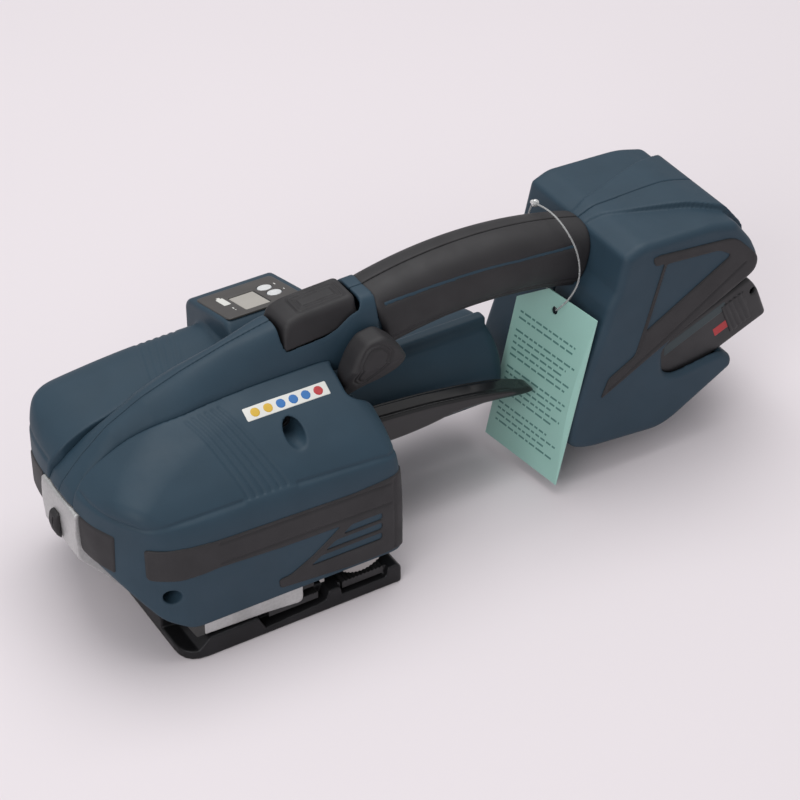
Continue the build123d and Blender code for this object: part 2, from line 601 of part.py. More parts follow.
# ------------------------------------------------------------------ welding lever
WELD_LEVER_Y = (-32.0, -17.2)
WELD_LEVER_SIDE = [
    (45, 86), (47, 98), (53, 117), (60, 122), (71, 117), (77, 104), (71, 94), (57, 86), (52, 78),
    (47, 79),
]
weld_lever = side_prism(WELD_LEVER_SIDE, WELD_LEVER_Y, corner=1.5)
weld_lever -= rod_y(WELD_LEVER_PIVOT, LEVER_PIN_RADIUS + RUN, (-40, 0))
save("weld_lever", weld_lever)
save("weld_lever_pin", rod_y(WELD_LEVER_PIVOT, LEVER_PIN_RADIUS, (-34, 4)))

# ------------------------------------------------------------------ rubber bumpers and trims
BUMPER_SIDE = [
    (-29, 51), (-29, 68.5), (48, 72.5), (48, 24.5), (-8, 24), (-9, 29.5), (-2.5, 29.5), (21, 48.6),
]
BUMPER_WINDOW = [(32, 46), (42, 46), (42, 31), (12, 31)]
STRIPE_SIDE = [
    (180.3, 49.2), (183.2, 60.2), (199, 69), (203.7, 81.2), (255.1, 108.1), (244.3, 114.2),
    (211, 116.5), (208.6, 111.6), (206, 113), (206.8, 119.6), (256.1, 116.8), (268.5, 105.5),
    (267.5, 98), (221.8, 69.5), (200, 55),
]


def trim_skin(points, face_y, window=None):
    """A thin rubber skin lying on the outside of a vertical side face."""
    skin = side_prism(points, (face_y - SKIN, face_y))
    if window:
        skin -= side_prism(window, (face_y - 2 * SKIN, face_y + SKIN))
    return skin


def nose_pad(inner):
    """A rubber pad on the swept corner beside the nose plate."""
    outer = [(x - 1.2, y - 0.6) for x, y in reversed(inner)]
    return plan_prism(inner + outer, (47, 68))


NEAR_PAD = [(-86, -SPINE_HALF - 0.5), (-82, -22), (-76.8, -31)]
FAR_PAD = [(-86.6, -SPINE_HALF - 0.5), (-83.7, -26), (-81.1, -31.5)]
FAR_HALF = 62.0
near_bumper = trim_skin(BUMPER_SIDE, -HEAD_HALF, BUMPER_WINDOW)
far_bumper = mirrored(trim_skin(BUMPER_SIDE, -FAR_HALF, BUMPER_WINDOW))
save("side_bumpers", near_bumper, far_bumper)
save("nose_pads", nose_pad(NEAR_PAD), mirrored(nose_pad(FAR_PAD)))
stripe = trim_skin(STRIPE_SIDE, -REAR_HALF)
save("rear_stripes", stripe, mirrored(stripe))

# ------------------------------------------------------------------ battery
CASE_WALL = 2.0
LATCH_ALONG = (-30.0, -8.0)
LATCH_UP = (4.0, 26.0)
case = battery_box((-BATTERY_LENGTH, 0), (-BATTERY_HALF, BATTERY_HALF), (0, BATTERY_HEIGHT))
case -= battery_box(
    (-BATTERY_LENGTH + CASE_WALL, -CASE_WALL),
    (-BATTERY_HALF + CASE_WALL, BATTERY_HALF - CASE_WALL),
    (CASE_WALL, BATTERY_HEIGHT + 1),
)
latch = battery_box(LATCH_ALONG, (-BATTERY_HALF - 0.6, -BATTERY_HALF + 0.8), LATCH_UP)
latch_room = battery_box(
    (LATCH_ALONG[0] - GAP, LATCH_ALONG[1] + GAP),
    (-BATTERY_HALF - 1, -BATTERY_HALF + 3),
    (LATCH_UP[0] - GAP, LATCH_UP[1] + GAP),
)
case -= latch_room + mirrored(latch_room)
lid = battery_box(
    (-BATTERY_LENGTH, 0), (-BATTERY_HALF, BATTERY_HALF), (BATTERY_HEIGHT - CASE_WALL, BATTERY_HEIGHT)
)
case -= lid
lid += battery_box(
    (-BATTERY_LENGTH + 6, -6), (-RAIL_HALF, RAIL_HALF), (BATTERY_HEIGHT, BATTERY_HEIGHT + RAIL_HEIGHT)
)
for place in (-12.0, 0.0, 12.0):
    lid -= battery_box((-91, -80), (place - 2, place + 2), (BATTERY_HEIGHT + 1, 36))


def battery_cells():
    cells = []
    pitch = 2 * CELL_RADIUS + 0.3
    for index in range(CELL_COUNT):
        along = -BATTERY_LENGTH + CASE_WALL + 2 + CELL_RADIUS + index * pitch
        bar = rod_y((along, CASE_WALL + 0.4 + CELL_RADIUS), CELL_RADIUS, (-CELL_LENGTH / 2, CELL_LENGTH / 2))
        cells.append(Pos(*BATTERY_CORNER) * Rot(0, -BATTERY_ANGLE, 0) * bar)
    return cells


save("battery_case", case)
save("battery_lid", lid)
save("battery_cells", *battery_cells())
save("battery_latch_near", latch)
save("battery_latch_far", mirrored(latch))
save("terminal_block", battery_box((-102, -97.5), (-20, 20), (BATTERY_HEIGHT, 38)))
save("main_board", block((214, 254), (-32, 32), (101, 103)))

# ------------------------------------------------------------------ hang tag on its nylon loop
TAG_PLANE = Plane(origin=TAG_CORNER, x_dir=TAG_ACROSS, z_dir=TAG_NORMAL)
tag_points = [
    (0, 0), (TAG_SIZE[0], 0), TAG_SIZE, (TAG_CHAMFER[0], TAG_SIZE[1]), (0, TAG_SIZE[1] - TAG_CHAMFER[1]),
]
tag_face = outline(tag_points) - Pos(*TAG_HOLE) * Circle(TAG_HOLE_RADIUS)
save("hang_tag", extrude(TAG_PLANE * tag_face, amount=-TAG_THICK))

# The loop goes over the near side of the grip, through the tag and up the far side.
LOOP_ROUTE = [
    (174.5, 8.5, 134.5), (173.5, -1, 138), (175, -13, 134.5), (178.5, -20.5, 123), (179.5, -22.5, 108),
    (174.5, -21.5, 97.5), (169.6, -16.5, 88.7), (174.5, -10.5, 86), (177.5, 0, 87), (179, 11, 91),
    (179, 20, 99), (178.3, 22.5, 110), (176.7, 20, 121), (175.3, 15.8, 129), (174.8, 12.8, 133.5),
]


def cord_radii(points):
    """The largest arc at each corner of a cord's route."""
    radii = []
    for before, corner, after in zip(points, points[1:], points[2:]):
        first = Vector(*corner) - Vector(*before)
        second = Vector(*after) - Vector(*corner)
        turn = math.radians(first.get_angle(second))
        radii.append(0.45 * min(first.length, second.length) / math.tan(turn / 2))
    return radii


loop_radii = cord_radii(LOOP_ROUTE)
print("loop radii", [round(radius, 1) for radius in loop_radii])
loop_path = FilletPolyline(*LOOP_ROUTE, radius=loop_radii)
loop_plane = Plane(origin=loop_path @ 0, z_dir=loop_path % 0)
loop = sweep(loop_plane * Circle(LOOP_RADIUS), loop_path)
print("loop length", round(loop_path.length, 1), "volume ratio",
      round(loop.volume / (math.pi * LOOP_RADIUS ** 2 * loop_path.length), 3))
save("tag_loop", loop)
save("loop_clasp", Pos(174.5, 10.7, 134.3) * Sphere(1.9) - loop)

# ------------------------------------------------------------------ fasteners
def cap_screw(centre, y, radius=SCREW_RADIUS_COVER):
    """A screw along Y with its head at the lower y."""
    screw = rod_y(centre, radius, (y[0] + 3, y[1]))
    return screw + rod_y(centre, radius * 1.7, (y[0], y[0] + 3))


near_screws = [cap_screw(centre, y) for centre, y in COVER_SCREWS]
save("cover_screws", *near_screws, *[mirrored(screw) for screw in near_screws])
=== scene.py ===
import json
import math
import bpy
import numpy as np
import openvdb
import random
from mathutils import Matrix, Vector
from mathutils.geometry import delaunay_2d_cdt


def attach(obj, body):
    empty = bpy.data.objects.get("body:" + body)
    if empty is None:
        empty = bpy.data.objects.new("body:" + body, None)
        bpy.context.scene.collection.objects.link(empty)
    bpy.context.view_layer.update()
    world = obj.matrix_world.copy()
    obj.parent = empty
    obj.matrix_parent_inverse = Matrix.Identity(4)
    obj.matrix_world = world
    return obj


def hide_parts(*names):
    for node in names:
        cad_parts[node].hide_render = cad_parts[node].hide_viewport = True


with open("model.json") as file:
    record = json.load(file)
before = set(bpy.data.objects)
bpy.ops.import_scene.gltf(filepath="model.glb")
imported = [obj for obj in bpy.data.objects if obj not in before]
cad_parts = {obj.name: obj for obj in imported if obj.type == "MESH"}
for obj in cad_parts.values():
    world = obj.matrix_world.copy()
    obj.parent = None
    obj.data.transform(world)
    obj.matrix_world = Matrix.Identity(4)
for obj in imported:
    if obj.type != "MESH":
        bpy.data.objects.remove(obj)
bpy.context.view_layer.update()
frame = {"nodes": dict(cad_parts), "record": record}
MM = 0.001
FINE = 1.0  # how many times coarser a piece's mesh is than its own step


def new_object(name, data):
    obj = bpy.data.objects.new(name, data)
    bpy.context.scene.collection.objects.link(obj)
    return obj


# ------------------------------------------------------------------ camera
cam_data = bpy.data.cameras.new("photo_camera")
cam_data.sensor_width = 36.0
cam_data.lens = 117.0
cam_data.clip_start = 0.01
cam_data.clip_end = 20.0
cam = new_object("photo_camera", cam_data)
cam.location = (-0.4235, -0.85838, 0.80944)
aim = Vector((0.12973, 0.06236, 0.0)) - cam.location
cam.rotation_mode = "QUATERNION"
cam.rotation_quaternion = aim.to_track_quat("-Z", "Y")
bpy.context.scene.camera = cam

# ------------------------------------------------------------------ nylon loop of the hang tag
LOOP_ROUTE = [
    (174.5, 8.5, 134.5), (173.5, -1, 138), (175, -13, 134.5), (178.5, -20.5, 123), (179.5, -22.5, 108),
    (174.5, -21.5, 97.5), (169.6, -16.5, 88.7), (174.5, -10.5, 86), (177.5, 0, 87), (179, 11, 91),
    (179, 20, 99), (178.3, 22.5, 110), (176.7, 20, 121), (175.3, 15.8, 129), (174.8, 12.8, 133.5),
]


def route_curve(name, points, radius):
    """A round strand along a route in millimetres, as a smooth clamped spline."""
    data = bpy.data.curves.new(name, "CURVE")
    data.dimensions = "3D"
    data.bevel_depth = radius
    data.bevel_resolution = 6
    data.resolution_u = 24
    data.use_fill_caps = True
    spline = data.splines.new("NURBS")
    spline.points.add(len(points) - 1)
    for point, place in zip(spline.points, points):
        point.co = (place[0] * MM, place[1] * MM, place[2] * MM, 1.0)
    spline.order_u = 3
    spline.use_endpoint_u = True
    return new_object(name, data)


# ------------------------------------------------------------------ signed distances, millimetres
def rmax(a, b, r):
    """Both shapes at once, with a rounded edge of radius r where they meet."""
    u, v = np.maximum(a + r, 0), np.maximum(b + r, 0)
    return np.minimum(np.maximum(a, b), -r) + np.sqrt(u * u + v * v)


def rmin(a, b, r):
    """Either shape, with a rounded inner corner of radius r where they meet."""
    return -rmax(-a, -b, r)


def ramp(t):
    """A smooth step from 0 to 1 as t goes from 0 to 1."""
    t = np.clip(t, 0, 1)
    return t * t * (3 - 2 * t)


def rounded(points, radius, steps=5):
    """A closed outline with each corner rounded; a point's third value is its own size of rounding."""
    out = []
    for i, place in enumerate(points):
        p, a, b = (np.array(q[:2], float) for q in (place, points[i - 1], points[(i + 1) % len(points)]))
        la, lb = np.linalg.norm(a - p), np.linalg.norm(b - p)
        r = min(place[2] if len(place) > 2 else radius, 0.48 * la, 0.48 * lb)
        s, e = p + (a - p) / la * r, p + (b - p) / lb * r
        for k in range(steps + 1):
            t = k / steps
            out.append(tuple((1 - t) ** 2 * s + 2 * t * (1 - t) * p + t * t * e))
    return out


def segment(u, v, a, b):
    """Distance to the straight line from a to b."""
    eu, ev = b[0] - a[0], b[1] - a[1]
    t = np.clip(((u - a[0]) * eu + (v - a[1]) * ev) / max(eu * eu + ev * ev, 1e-9), 0, 1)
    return np.hypot(u - a[0] - t * eu, v - a[1] - t * ev)


def poly(u, v, points):
    """Distance to a closed outline, negative inside."""
    best, inside = None, np.zeros(np.broadcast(u, v).shape, bool)
    for i, b in enumerate(points):
        a = points[i - 1]
        d = segment(u, v, a, b)
        best = d if best is None else np.minimum(best, d)
        if a[1] != b[1]:
            cross = (a[1] > v) != (b[1] > v)
            inside ^= cross & (u < (b[0] - a[0]) * (v - a[1]) / (b[1] - a[1]) + a[0])
    return np.where(inside, -best, best).astype(np.float32)


def lines(u, v, *paths):
    """Distance to the nearest of some open lines."""
    best = None
    for path in paths:
        for a, b in zip(path, path[1:]):
            d = segment(u, v, a, b)
            best = d if best is None else np.minimum(best, d)
    return best


def groove(distance, width, depth):
    """How far a groove of that width pushes a surface in."""
    return depth * np.exp(-((distance / (0.5 * width)) ** 2))


def cuboid(x, y, z, low, high, r):
    """A box with rounded edges."""
    q = []
    for value, a, b in zip((x, y, z), low, high):
        q.append(np.abs(value - (a + b) / 2) - (b - a) / 2 + r)
    out = np.sqrt(sum(np.maximum(e, 0) ** 2 for e in q))
    return out + np.minimum(np.maximum(np.maximum(q[0], q[1]), q[2]), 0) - r


def on_side(field, side, *more):
    """A field of x, the distance out from the seam plane and z, put on the near (-1) or the far (1) side."""
    return lambda x, y, z: field(x, side * y, z, *more)


def mesh_piece(name, field, low, high, step, body, slot, finish, stands_for=()):
    """Turns a signed distance over a box into a smooth mesh that rides on a body."""
    step = step * FINE
    band = 3 * step
    axes = [np.arange(a - 2 * step, b + 2 * step, step, dtype=np.float32) for a, b in zip(low, high)]
    x, y, z = axes[0][:, None, None], axes[1][None, :, None], axes[2][None, None, :]
    shape = tuple(len(axis) for axis in axes)
    values = np.ascontiguousarray(np.broadcast_to(field(x, y, z), shape), dtype=np.float32)
    grid = openvdb.FloatGrid(band)
    grid.copyFromArray(np.clip(values, -band, band))
    points, _, quads = grid.convertToPolygons(isovalue=0.0, adaptivity=0.0)
    points = (points * step + np.array([axis[0] for axis in axes])) * MM
    data = bpy.data.meshes.new(name)
    data.vertices.add(len(points))
    data.vertices.foreach_set("co", points.astype(np.float32).ravel())
    quads = np.asarray(quads)[:, ::-1]
    count = len(quads)
    data.loops.add(4 * count)
    data.loops.foreach_set("vertex_index", quads.astype(np.int32).ravel())
    data.polygons.add(count)
    data.polygons.foreach_set("loop_start", np.arange(0, 4 * count, 4, dtype=np.int32))
    data.update(calc_edges=True)
    data.validate()
    data.polygons.foreach_set("use_smooth", np.ones(len(data.polygons), bool))
    data.materials.append(finish)
    obj = new_object(name, data)
    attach(obj, body)
    if stands_for:
        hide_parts(*stands_for)
    return obj


# ------------------------------------------------------------------ materials
PATCH = 18.0


def look(name, colour, rough, grain, bump, vary, metal=0.0, smudge=0.12, spec=0.5, scratch=0.0):
    """A finish with fine grain, broad patches in tone and roughness, and faint handling wear.

    The grain's size and the height of its relief, bump, are in millimetres; vary is the share by which
    the tone changes, smudge the span of the roughness, and scratch the share of long fine marks.
    """
    made = bpy.data.materials.new(name)
    made.use_nodes = True
    nodes, links = made.node_tree.nodes, made.node_tree.links
    shader = nodes["Principled BSDF"]
    place = nodes.new("ShaderNodeTexCoord").outputs["Object"]

    def noise(size_mm, detail, stretch=None):
        texture = nodes.new("ShaderNodeTexNoise")
        texture.inputs["Scale"].default_value = 1.0 / (size_mm * MM)
        texture.inputs["Detail"].default_value = detail
        source = place
        if stretch:
            mapping = nodes.new("ShaderNodeMapping")
            mapping.inputs["Scale"].default_value = stretch
            links.new(place, mapping.inputs["Vector"])
            source = mapping.outputs["Vector"]
        links.new(source, texture.inputs["Vector"])
        return texture.outputs["Fac"]

    def mapped(value, low, high):
        node = nodes.new("ShaderNodeMapRange")
        node.inputs["From Min"].default_value = 0.3
        node.inputs["From Max"].default_value = 0.7
        node.inputs["To Min"].default_value = low
        node.inputs["To Max"].default_value = high
        links.new(value, node.inputs["Value"])
        return node.outputs["Result"]

    patches = mapped(noise(PATCH, 4.0), 1.0 - vary, 1.0 + vary)
    specks = mapped(noise(grain, 2.0), 1.0 - 0.5 * vary, 1.0 + 0.5 * vary)
    both = nodes.new("ShaderNodeMath")
    both.operation = "MULTIPLY"
    links.new(patches, both.inputs[0])
    links.new(specks, both.inputs[1])
    tint = nodes.new("ShaderNodeVectorMath")
    tint.operation = "SCALE"
    tint.inputs[0].default_value = colour
    links.new(both.outputs[0], tint.inputs["Scale"])
    links.new(tint.outputs["Vector"], shader.inputs["Base Color"])
    worn = mapped(noise(PATCH * 0.6, 5.0), rough - smudge * 0.5, rough + smudge * 0.5)
    links.new(worn, shader.inputs["Roughness"])
    shader.inputs["Metallic"].default_value = metal
    shader.inputs["Specular IOR Level"].default_value = spec
    height = noise(grain, 2.0)
    if scratch:
        fine = noise(grain * 0.8, 2.0, (1.0, 30.0, 30.0))
        mix = nodes.new("ShaderNodeMix")
        mix.inputs["Factor"].default_value = scratch
        links.new(height, mix.inputs["A"])
        links.new(fine, mix.inputs["B"])
        height = mix.outputs["Result"]
    relief = nodes.new("ShaderNodeBump")
    relief.inputs["Strength"].default_value = 1.0
    relief.inputs["Distance"].default_value = bump * MM
    links.new(height, relief.inputs["Height"])
    links.new(relief.outputs["Normal"], shader.inputs["Normal"])
    return made


TEAL = look("teal_shell", (0.0235, 0.048, 0.071), 0.54, grain=0.30, bump=0.035, vary=0.05, spec=0.28,
            smudge=0.08)
RUBBER = look("black_rubber", (0.021, 0.020, 0.022), 0.60, grain=0.22, bump=0.030, vary=0.10, spec=0.4)
BLACK = look("black_shell", (0.016, 0.016, 0.018), 0.48, grain=0.25, bump=0.020, vary=0.10)
GLOSS = look("gloss_black", (0.010, 0.010, 0.011), 0.20, grain=0.5, bump=0.004, vary=0.10)
OXIDE = look("black_oxide", (0.018, 0.018, 0.020), 0.42, grain=0.6, bump=0.02, metal=0.6, vary=0.2,
             scratch=0.5)
# painted shade: the cast alloy darkened so that the gear frame shows the shade it lies in
PAINTED_SHADE_CAST = look("painted_shade_cast", (0.05, 0.05, 0.05), 0.6, grain=1.2, bump=0.10, metal=0.3, vary=0.15)
HARD = look("hardened_steel", (0.05, 0.05, 0.052), 0.40, grain=0.4, bump=0.01, metal=0.8, vary=0.10,
            scratch=0.6)
CAST = look("cast_alloy", (0.50, 0.50, 0.50), 0.55, grain=1.2, bump=0.10, metal=0.7, vary=0.12)
STEEL = look("tool_steel", (0.42, 0.41, 0.40), 0.32, grain=0.4, bump=0.01, metal=1.0, vary=0.08, scratch=0.7)
ZINC = look("zinc_steel", (0.45, 0.46, 0.48), 0.38, grain=0.5, bump=0.015, metal=1.0, vary=0.12, scratch=0.4)
MINT = look("mint_card", (0.33, 0.56, 0.50), 0.50, grain=0.6, bump=0.004, vary=0.02)
NYLON = look("clear_nylon", (0.62, 0.63, 0.63), 0.25, grain=0.5, bump=0.004, vary=0.03)
NYLON.node_tree.nodes["Principled BSDF"].inputs["Transmission Weight"].default_value = 0.6
FILM = look("panel_film", (0.050, 0.047, 0.045), 0.42, grain=0.2, bump=0.006, vary=0.05)
GLASS = look("display_glass", (0.38, 0.36, 0.33), 0.22, grain=0.4, bump=0.002, vary=0.04)
WHITE = look("white_key", (0.62, 0.63, 0.64), 0.45, grain=0.3, bump=0.006, vary=0.04)
LABEL = look("dark_label", (0.012, 0.030, 0.036), 0.35, grain=0.4, bump=0.003, vary=0.05)
PAPER = look("white_label", (0.66, 0.66, 0.63), 0.45, grain=0.4, bump=0.003, vary=0.03)
RED = look("red_label", (0.42, 0.020, 0.025), 0.40, grain=0.4, bump=0.003, vary=0.05)
AMBER = look("amber_dot", (0.60, 0.38, 0.03), 0.45, grain=0.4, bump=0.003, vary=0.05)
BLUE = look("blue_dot", (0.02, 0.14, 0.40), 0.45, grain=0.4, bump=0.003, vary=0.05)
INK = look("tag_print", (0.09, 0.22, 0.20), 0.55, grain=0.4, bump=0.003, vary=0.05)
BOARD = look("circuit_board", (0.01, 0.09, 0.03), 0.45, grain=0.5, bump=0.01, vary=0.10)

SLOT_LOOKS = {
    "black_steel": OXIDE, "tool_steel": STEEL, "bright_steel": STEEL, "zinc_steel": ZINC,
    "motor_steel": ZINC, "cast_alloy": CAST, "teal_plastic": TEAL, "black_plastic": BLACK,
    "gloss_black": GLOSS, "black_rubber": RUBBER, "panel_film": FILM, "display_glass": GLASS,
    "white_key": WHITE, "circuit_board": BOARD, "battery_plastic": BLACK, "cell_metal": ZINC,
    "mint_card": MINT, "clear_nylon": NYLON,
}
# the gear frame takes the cast alloy with painted shade
NODE_LOOKS = {"gear_frame": PAINTED_SHADE_CAST, "gripper_insert": HARD, "weld_anvil": HARD, "weld_shoe": HARD}
for part in frame["record"]["subparts"]:
    node = frame["nodes"][part["node"]]
    node.data.materials.clear()
    node.data.materials.append(NODE_LOOKS.get(part["node"], SLOT_LOOKS[part["material_slot"]]))

# ------------------------------------------------------------------ head covers
SIDES = (("near", -1), ("far", 1))
SHELL = 2.5
STEM_X = 44
# where the spine meets a head cover's top, then the crest of the spine, both along the tool
VALLEY = [
    (-88, 67), (-84, 77), (-78, 84), (-68, 91), (-56, 96.4), (-43, 101.5), (-31, 104), (-19, 106),
    (-5, 106.4), (10, 107.2), (30, 108.8), (46, 109), (62, 113), (74, 114),
]
SPINE_TOP = [
    (-88, 71.5), (-84.7, 78.5), (-75, 88.9), (-61.7, 100), (-43.7, 109.3), (-23.2, 116.5),
    (0, 122.9), (19.2, 127), (40, 130), (74, 130.8),
]
# outlines of each head cover from the side, from above and from its end
NEAR_SIDE = rounded([
    (-85.5, 52, 3), (-87.5, 68), (-85, 79), (-75, 88.5), (-60, 96), (-42, 102), (-20, 107), (6, 109.5),
    (40, 110), (50, 107), (58, 88), (60, 70), (60, 18.5, 3), (-50, 18.5, 4), (-64, 26, 4),
], 9)
NEAR_PLAN = rounded([
    (-90, -20), (-88.5, 14), (-84.5, 26), (-76, 43), (-66, 54.5), (-52, 60.3), (-30, 61),
    (50, 61), (60, 57.5), (60, -20),
], 9)
NEAR_END = rounded([
    (-20, 112), (14, 110), (18, 106), (36, 95), (50, 84), (57, 76), (60.5, 68), (61, 45),
    (59.5, 18.5, 2), (-20, 18.5),
], 8)
NEAR_HEAD = (NEAR_SIDE, NEAR_PLAN, NEAR_END)
FAR_PLAN = rounded([
    (-90, -20), (-88.5, 14), (-86, 28), (-81, 45), (-72, 56), (-58, 61), (-36, 62),
    (50, 62), (60, 58), (60, -20),
], 9)
FAR_END = rounded([
    (-20, 112), (14, 108), (24, 105.5), (42, 104.5), (51, 100), (57, 91), (61, 78), (62, 64), (61, 45),
    (59.5, 18.5, 2), (-20, 18.5),
], 8)
FAR_SIDE = rounded([
    (-85.5, 52, 3), (-87.5, 68), (-86, 80), (-80, 89), (-68, 95), (-42, 101), (-20, 105.5), (6, 109),
    (40, 110), (50, 107), (58, 88), (60, 70), (60, 18.5, 3), (-50, 18.5, 4), (-64, 26, 4),
], 9)
FAR_HEAD = (FAR_SIDE, FAR_PLAN, FAR_END)
# each screw recess: its place seen from the side, its radius, and how far out from the seam its floor is
TOP_RECESS = ((13.5, 91.7), 4.8, 27)
CORNER_RECESS = ((-60, 40), 3.9, 46)
MOTOR_AXIS = (22, 48)
MOTOR_RADIUS = 25
SHOULDER = [(-90, 80.5), (-83, 80), (-69, 78), (-57, 78), (0.7, 77.3), (46.5, 75), (62, 73.5)]


def spine_half(x):
    """Half the width of the raised spine along the tool."""
    return 9.5 + 4.7 * ramp((x + 60) / 34) + 2.5 * ramp((-78 - x) / 8)


def head_form(x, s, z, side, plan, end):
    """A head cover's outside; s is the distance out from the seam plane."""
    r = 1.5 + 7.0 * ramp((z - 40) / 35)
    d = rmax(rmax(poly(x, z, side), poly(s, z, end), r), poly(x, s, plan), 0.4 * r + 1)
    line = np.interp(x, *zip(*SHOULDER)).astype(np.float32)
    return d + 0.35 * ramp((z - line + 0.5) / 1.0)


def shoulder_line(x, s, z):
    """The fine line round the top of a head cover, broken where the slanted grooves cross it."""
    line = np.interp(x, *zip(*SHOULDER)).astype(np.float32)
    gap = ramp((np.abs(x + 8) - 12.5) / 1.5)
    return groove(z - line, 1.7, 0.75) * gap * ramp((s - 12) / 4)


def dome_grooves(x, s, reach):
    """The six slanted grooves over the top of a head cover, out to a distance from the seam."""
    paths = []
    for i in range(6):
        t = i / 5
        paths.append([(-30.5 + 16.7 * t, 18.5), (-19 + 19.8 * t, reach)])
    return groove(lines(x, s, *paths), 1.5, 0.6)


def head_shell(x, s, z, form):
    """A hollow cover, with a deep flange where it lies beside the spine or, low at the front, the nose."""
    beside = np.where((z < 71.4) & (x < -62), 17.9, spine_half(x) + 0.2)
    outer = rmax(form, beside - s, 0.8)
    thick = np.where(s < beside + 2.2, 9.0, SHELL)
    return np.maximum(outer, -(form + thick))


def recessed(x, s, z, d, form, recess):
    """A cover with a screw recess: a blind tube and the solid round it."""
    spot, radius, depth = recess
    away = np.hypot(x - spot[0], z - spot[1])
    solid = np.maximum(away - radius - 1.5, np.maximum(form, depth - 2 - s))
    hole = np.maximum(away - radius, depth - s)
    return rmax(np.minimum(d, solid), -hole, 0.7)


def near_cover(x, s, z):
    """The near cover, with a notch for the welding lever's head and a slot for its arm and the rocker."""
    form = head_form(x, s, z, *NEAR_HEAD)
    form = form + np.maximum(dome_grooves(x, s, 54), shoulder_line(x, s, z))
    d = head_shell(x, s, z, form)
    for recess in (TOP_RECESS, CORNER_RECESS):
        d = recessed(x, s, z, d, form, recess)
    notch = cuboid(x, s, z, (45.2, 13, 81), (80, 34, 130), 5)
    d = rmax(d, -notch, 1.5)
    slot = cuboid(x, s, z, (50, 5, 38), (70, 24, 80), 2)
    return rmax(d, -slot, 1)


PANEL_BOX_SIDE = rounded([(11, 60), (11, 119), (57, 119), (57, 60)], 5)
PANEL_BOX_END = rounded([
    (10, 60), (16, 112), (22, 117.2), (27, 116.2), (61, 107), (64, 103), (64, 84), (61, 60),
], 4)


def far_cover(x, y, z):
    """The far cover, with the box of the display panel on it and a round opening for the motor cover."""
    form = head_form(x, y, z, *FAR_HEAD)
    form = form + np.maximum(dome_grooves(x, y, 57), shoulder_line(x, y, z))
    box = rmax(poly(x, z, PANEL_BOX_SIDE), poly(y, z, PANEL_BOX_END), 2.2)
    form = rmin(form, box, 2.0)
    d = head_shell(x, y, z, form)
    opening = np.hypot(y - MOTOR_AXIS[0], z - MOTOR_AXIS[1]) - MOTOR_RADIUS - 0.6
    d = np.maximum(d, -np.maximum(opening, 50 - x))
    return recessed(x, y, z, d, form, CORNER_RECESS)


mesh_piece("cover_shell_near", on_side(near_cover, -1), (-89, -63, 17), (61, -7, 113), 0.58, "housing",
           "teal_plastic", TEAL, ("head_cover_near",))
mesh_piece("cover_shell_far", far_cover, (-89, 7, 17), (61, 66, 121), 0.75, "housing", "teal_plastic", TEAL,
           ("head_cover_far",))

# ------------------------------------------------------------------ body shell: spine and rear housing
SPINE_SIDE = rounded(SPINE_TOP + [(74, 99), (40, 97), (4, 93), (-30, 83), (-70, 66), (-76, 71.5)], 4)
REAR_SIDE = rounded([
    (163, 28), (167, 22), (176, 18.5), (217, 14.7), (226, 17), (262, 37.5), (262, 43),
    (254, 49.5), (226, 46), (219, 49), (218, 62), (222, 66.6), (272.7, 92.5), (272.5, 108), (259, 125.5, 3),
    (243, 130), (201, 131.6, 4), (189.8, 127, 3), (182.5, 95), (165.5, 46),
], 6)
BATTERY_ANGLE = math.radians(22)
BATTERY_CORNER = (284.2, 59.5)
PACK_LENGTH = 96
PACK_HALF = 38
PACK_HEIGHT = 29.6
RAIL_HALF = 26
RAIL_TOP = 38
PLAY = 1


def pack_place(x, z):
    """Distance along the battery's slide, from its rear end, and up from its underside."""
    dx, dz = x - BATTERY_CORNER[0], z - BATTERY_CORNER[1]
    c, s = math.cos(BATTERY_ANGLE), math.sin(BATTERY_ANGLE)
    return dx * c + dz * s, dz * c - dx * s


ARC_START = (72, 113.3)
CORE = (13.5, 14.5)  # half the width and half the height of the tube inside the handle's grip


def circle_through(a, b, c):
    """Centre and radius of the circle through three points."""
    d = 2 * (a[0] * (b[1] - c[1]) + b[0] * (c[1] - a[1]) + c[0] * (a[1] - b[1]))
    sq = [p[0] ** 2 + p[1] ** 2 for p in (a, b, c)]
    cx = (sq[0] * (b[1] - c[1]) + sq[1] * (c[1] - a[1]) + sq[2] * (a[1] - b[1])) / d
    cz = (sq[0] * (c[0] - b[0]) + sq[1] * (a[0] - c[0]) + sq[2] * (b[0] - a[0])) / d
    return cx, cz, math.hypot(a[0] - cx, a[1] - cz)


ARC_X, ARC_Z, ARC_RADIUS = circle_through(ARC_START, (125, 120.0), (194, 108.8))


def arc_place(x, z):
    """Place along the handle's arc and height above its centre line."""
    along = ARC_RADIUS * np.arctan2(x - ARC_X, z - ARC_Z)
    start = ARC_RADIUS * math.atan2(ARC_START[0] - ARC_X, ARC_START[1] - ARC_Z)
    return along - start, np.hypot(x - ARC_X, z - ARC_Z) - ARC_RADIUS


def oval(y, h, half_width, half_height, power):
    """Distance to an oval, round at power 2 and squarish above that."""
    u, v = np.abs(y / half_width) + 1e-6, np.abs(h / half_height) + 1e-6
    k = (u ** power + v ** power) ** (1 / power)
    slope_u = u ** (power - 1) / half_width
    slope_v = v ** (power - 1) / half_height
    return (k - 1) / (np.sqrt(slope_u ** 2 + slope_v ** 2) / k ** (power - 1))


def handle_tube(y, height):
    """The hollow tube inside the grip: its outside, and its wall."""
    core = oval(y, height, *CORE, 2.0)
    return core, np.maximum(core, -(core + SHELL))


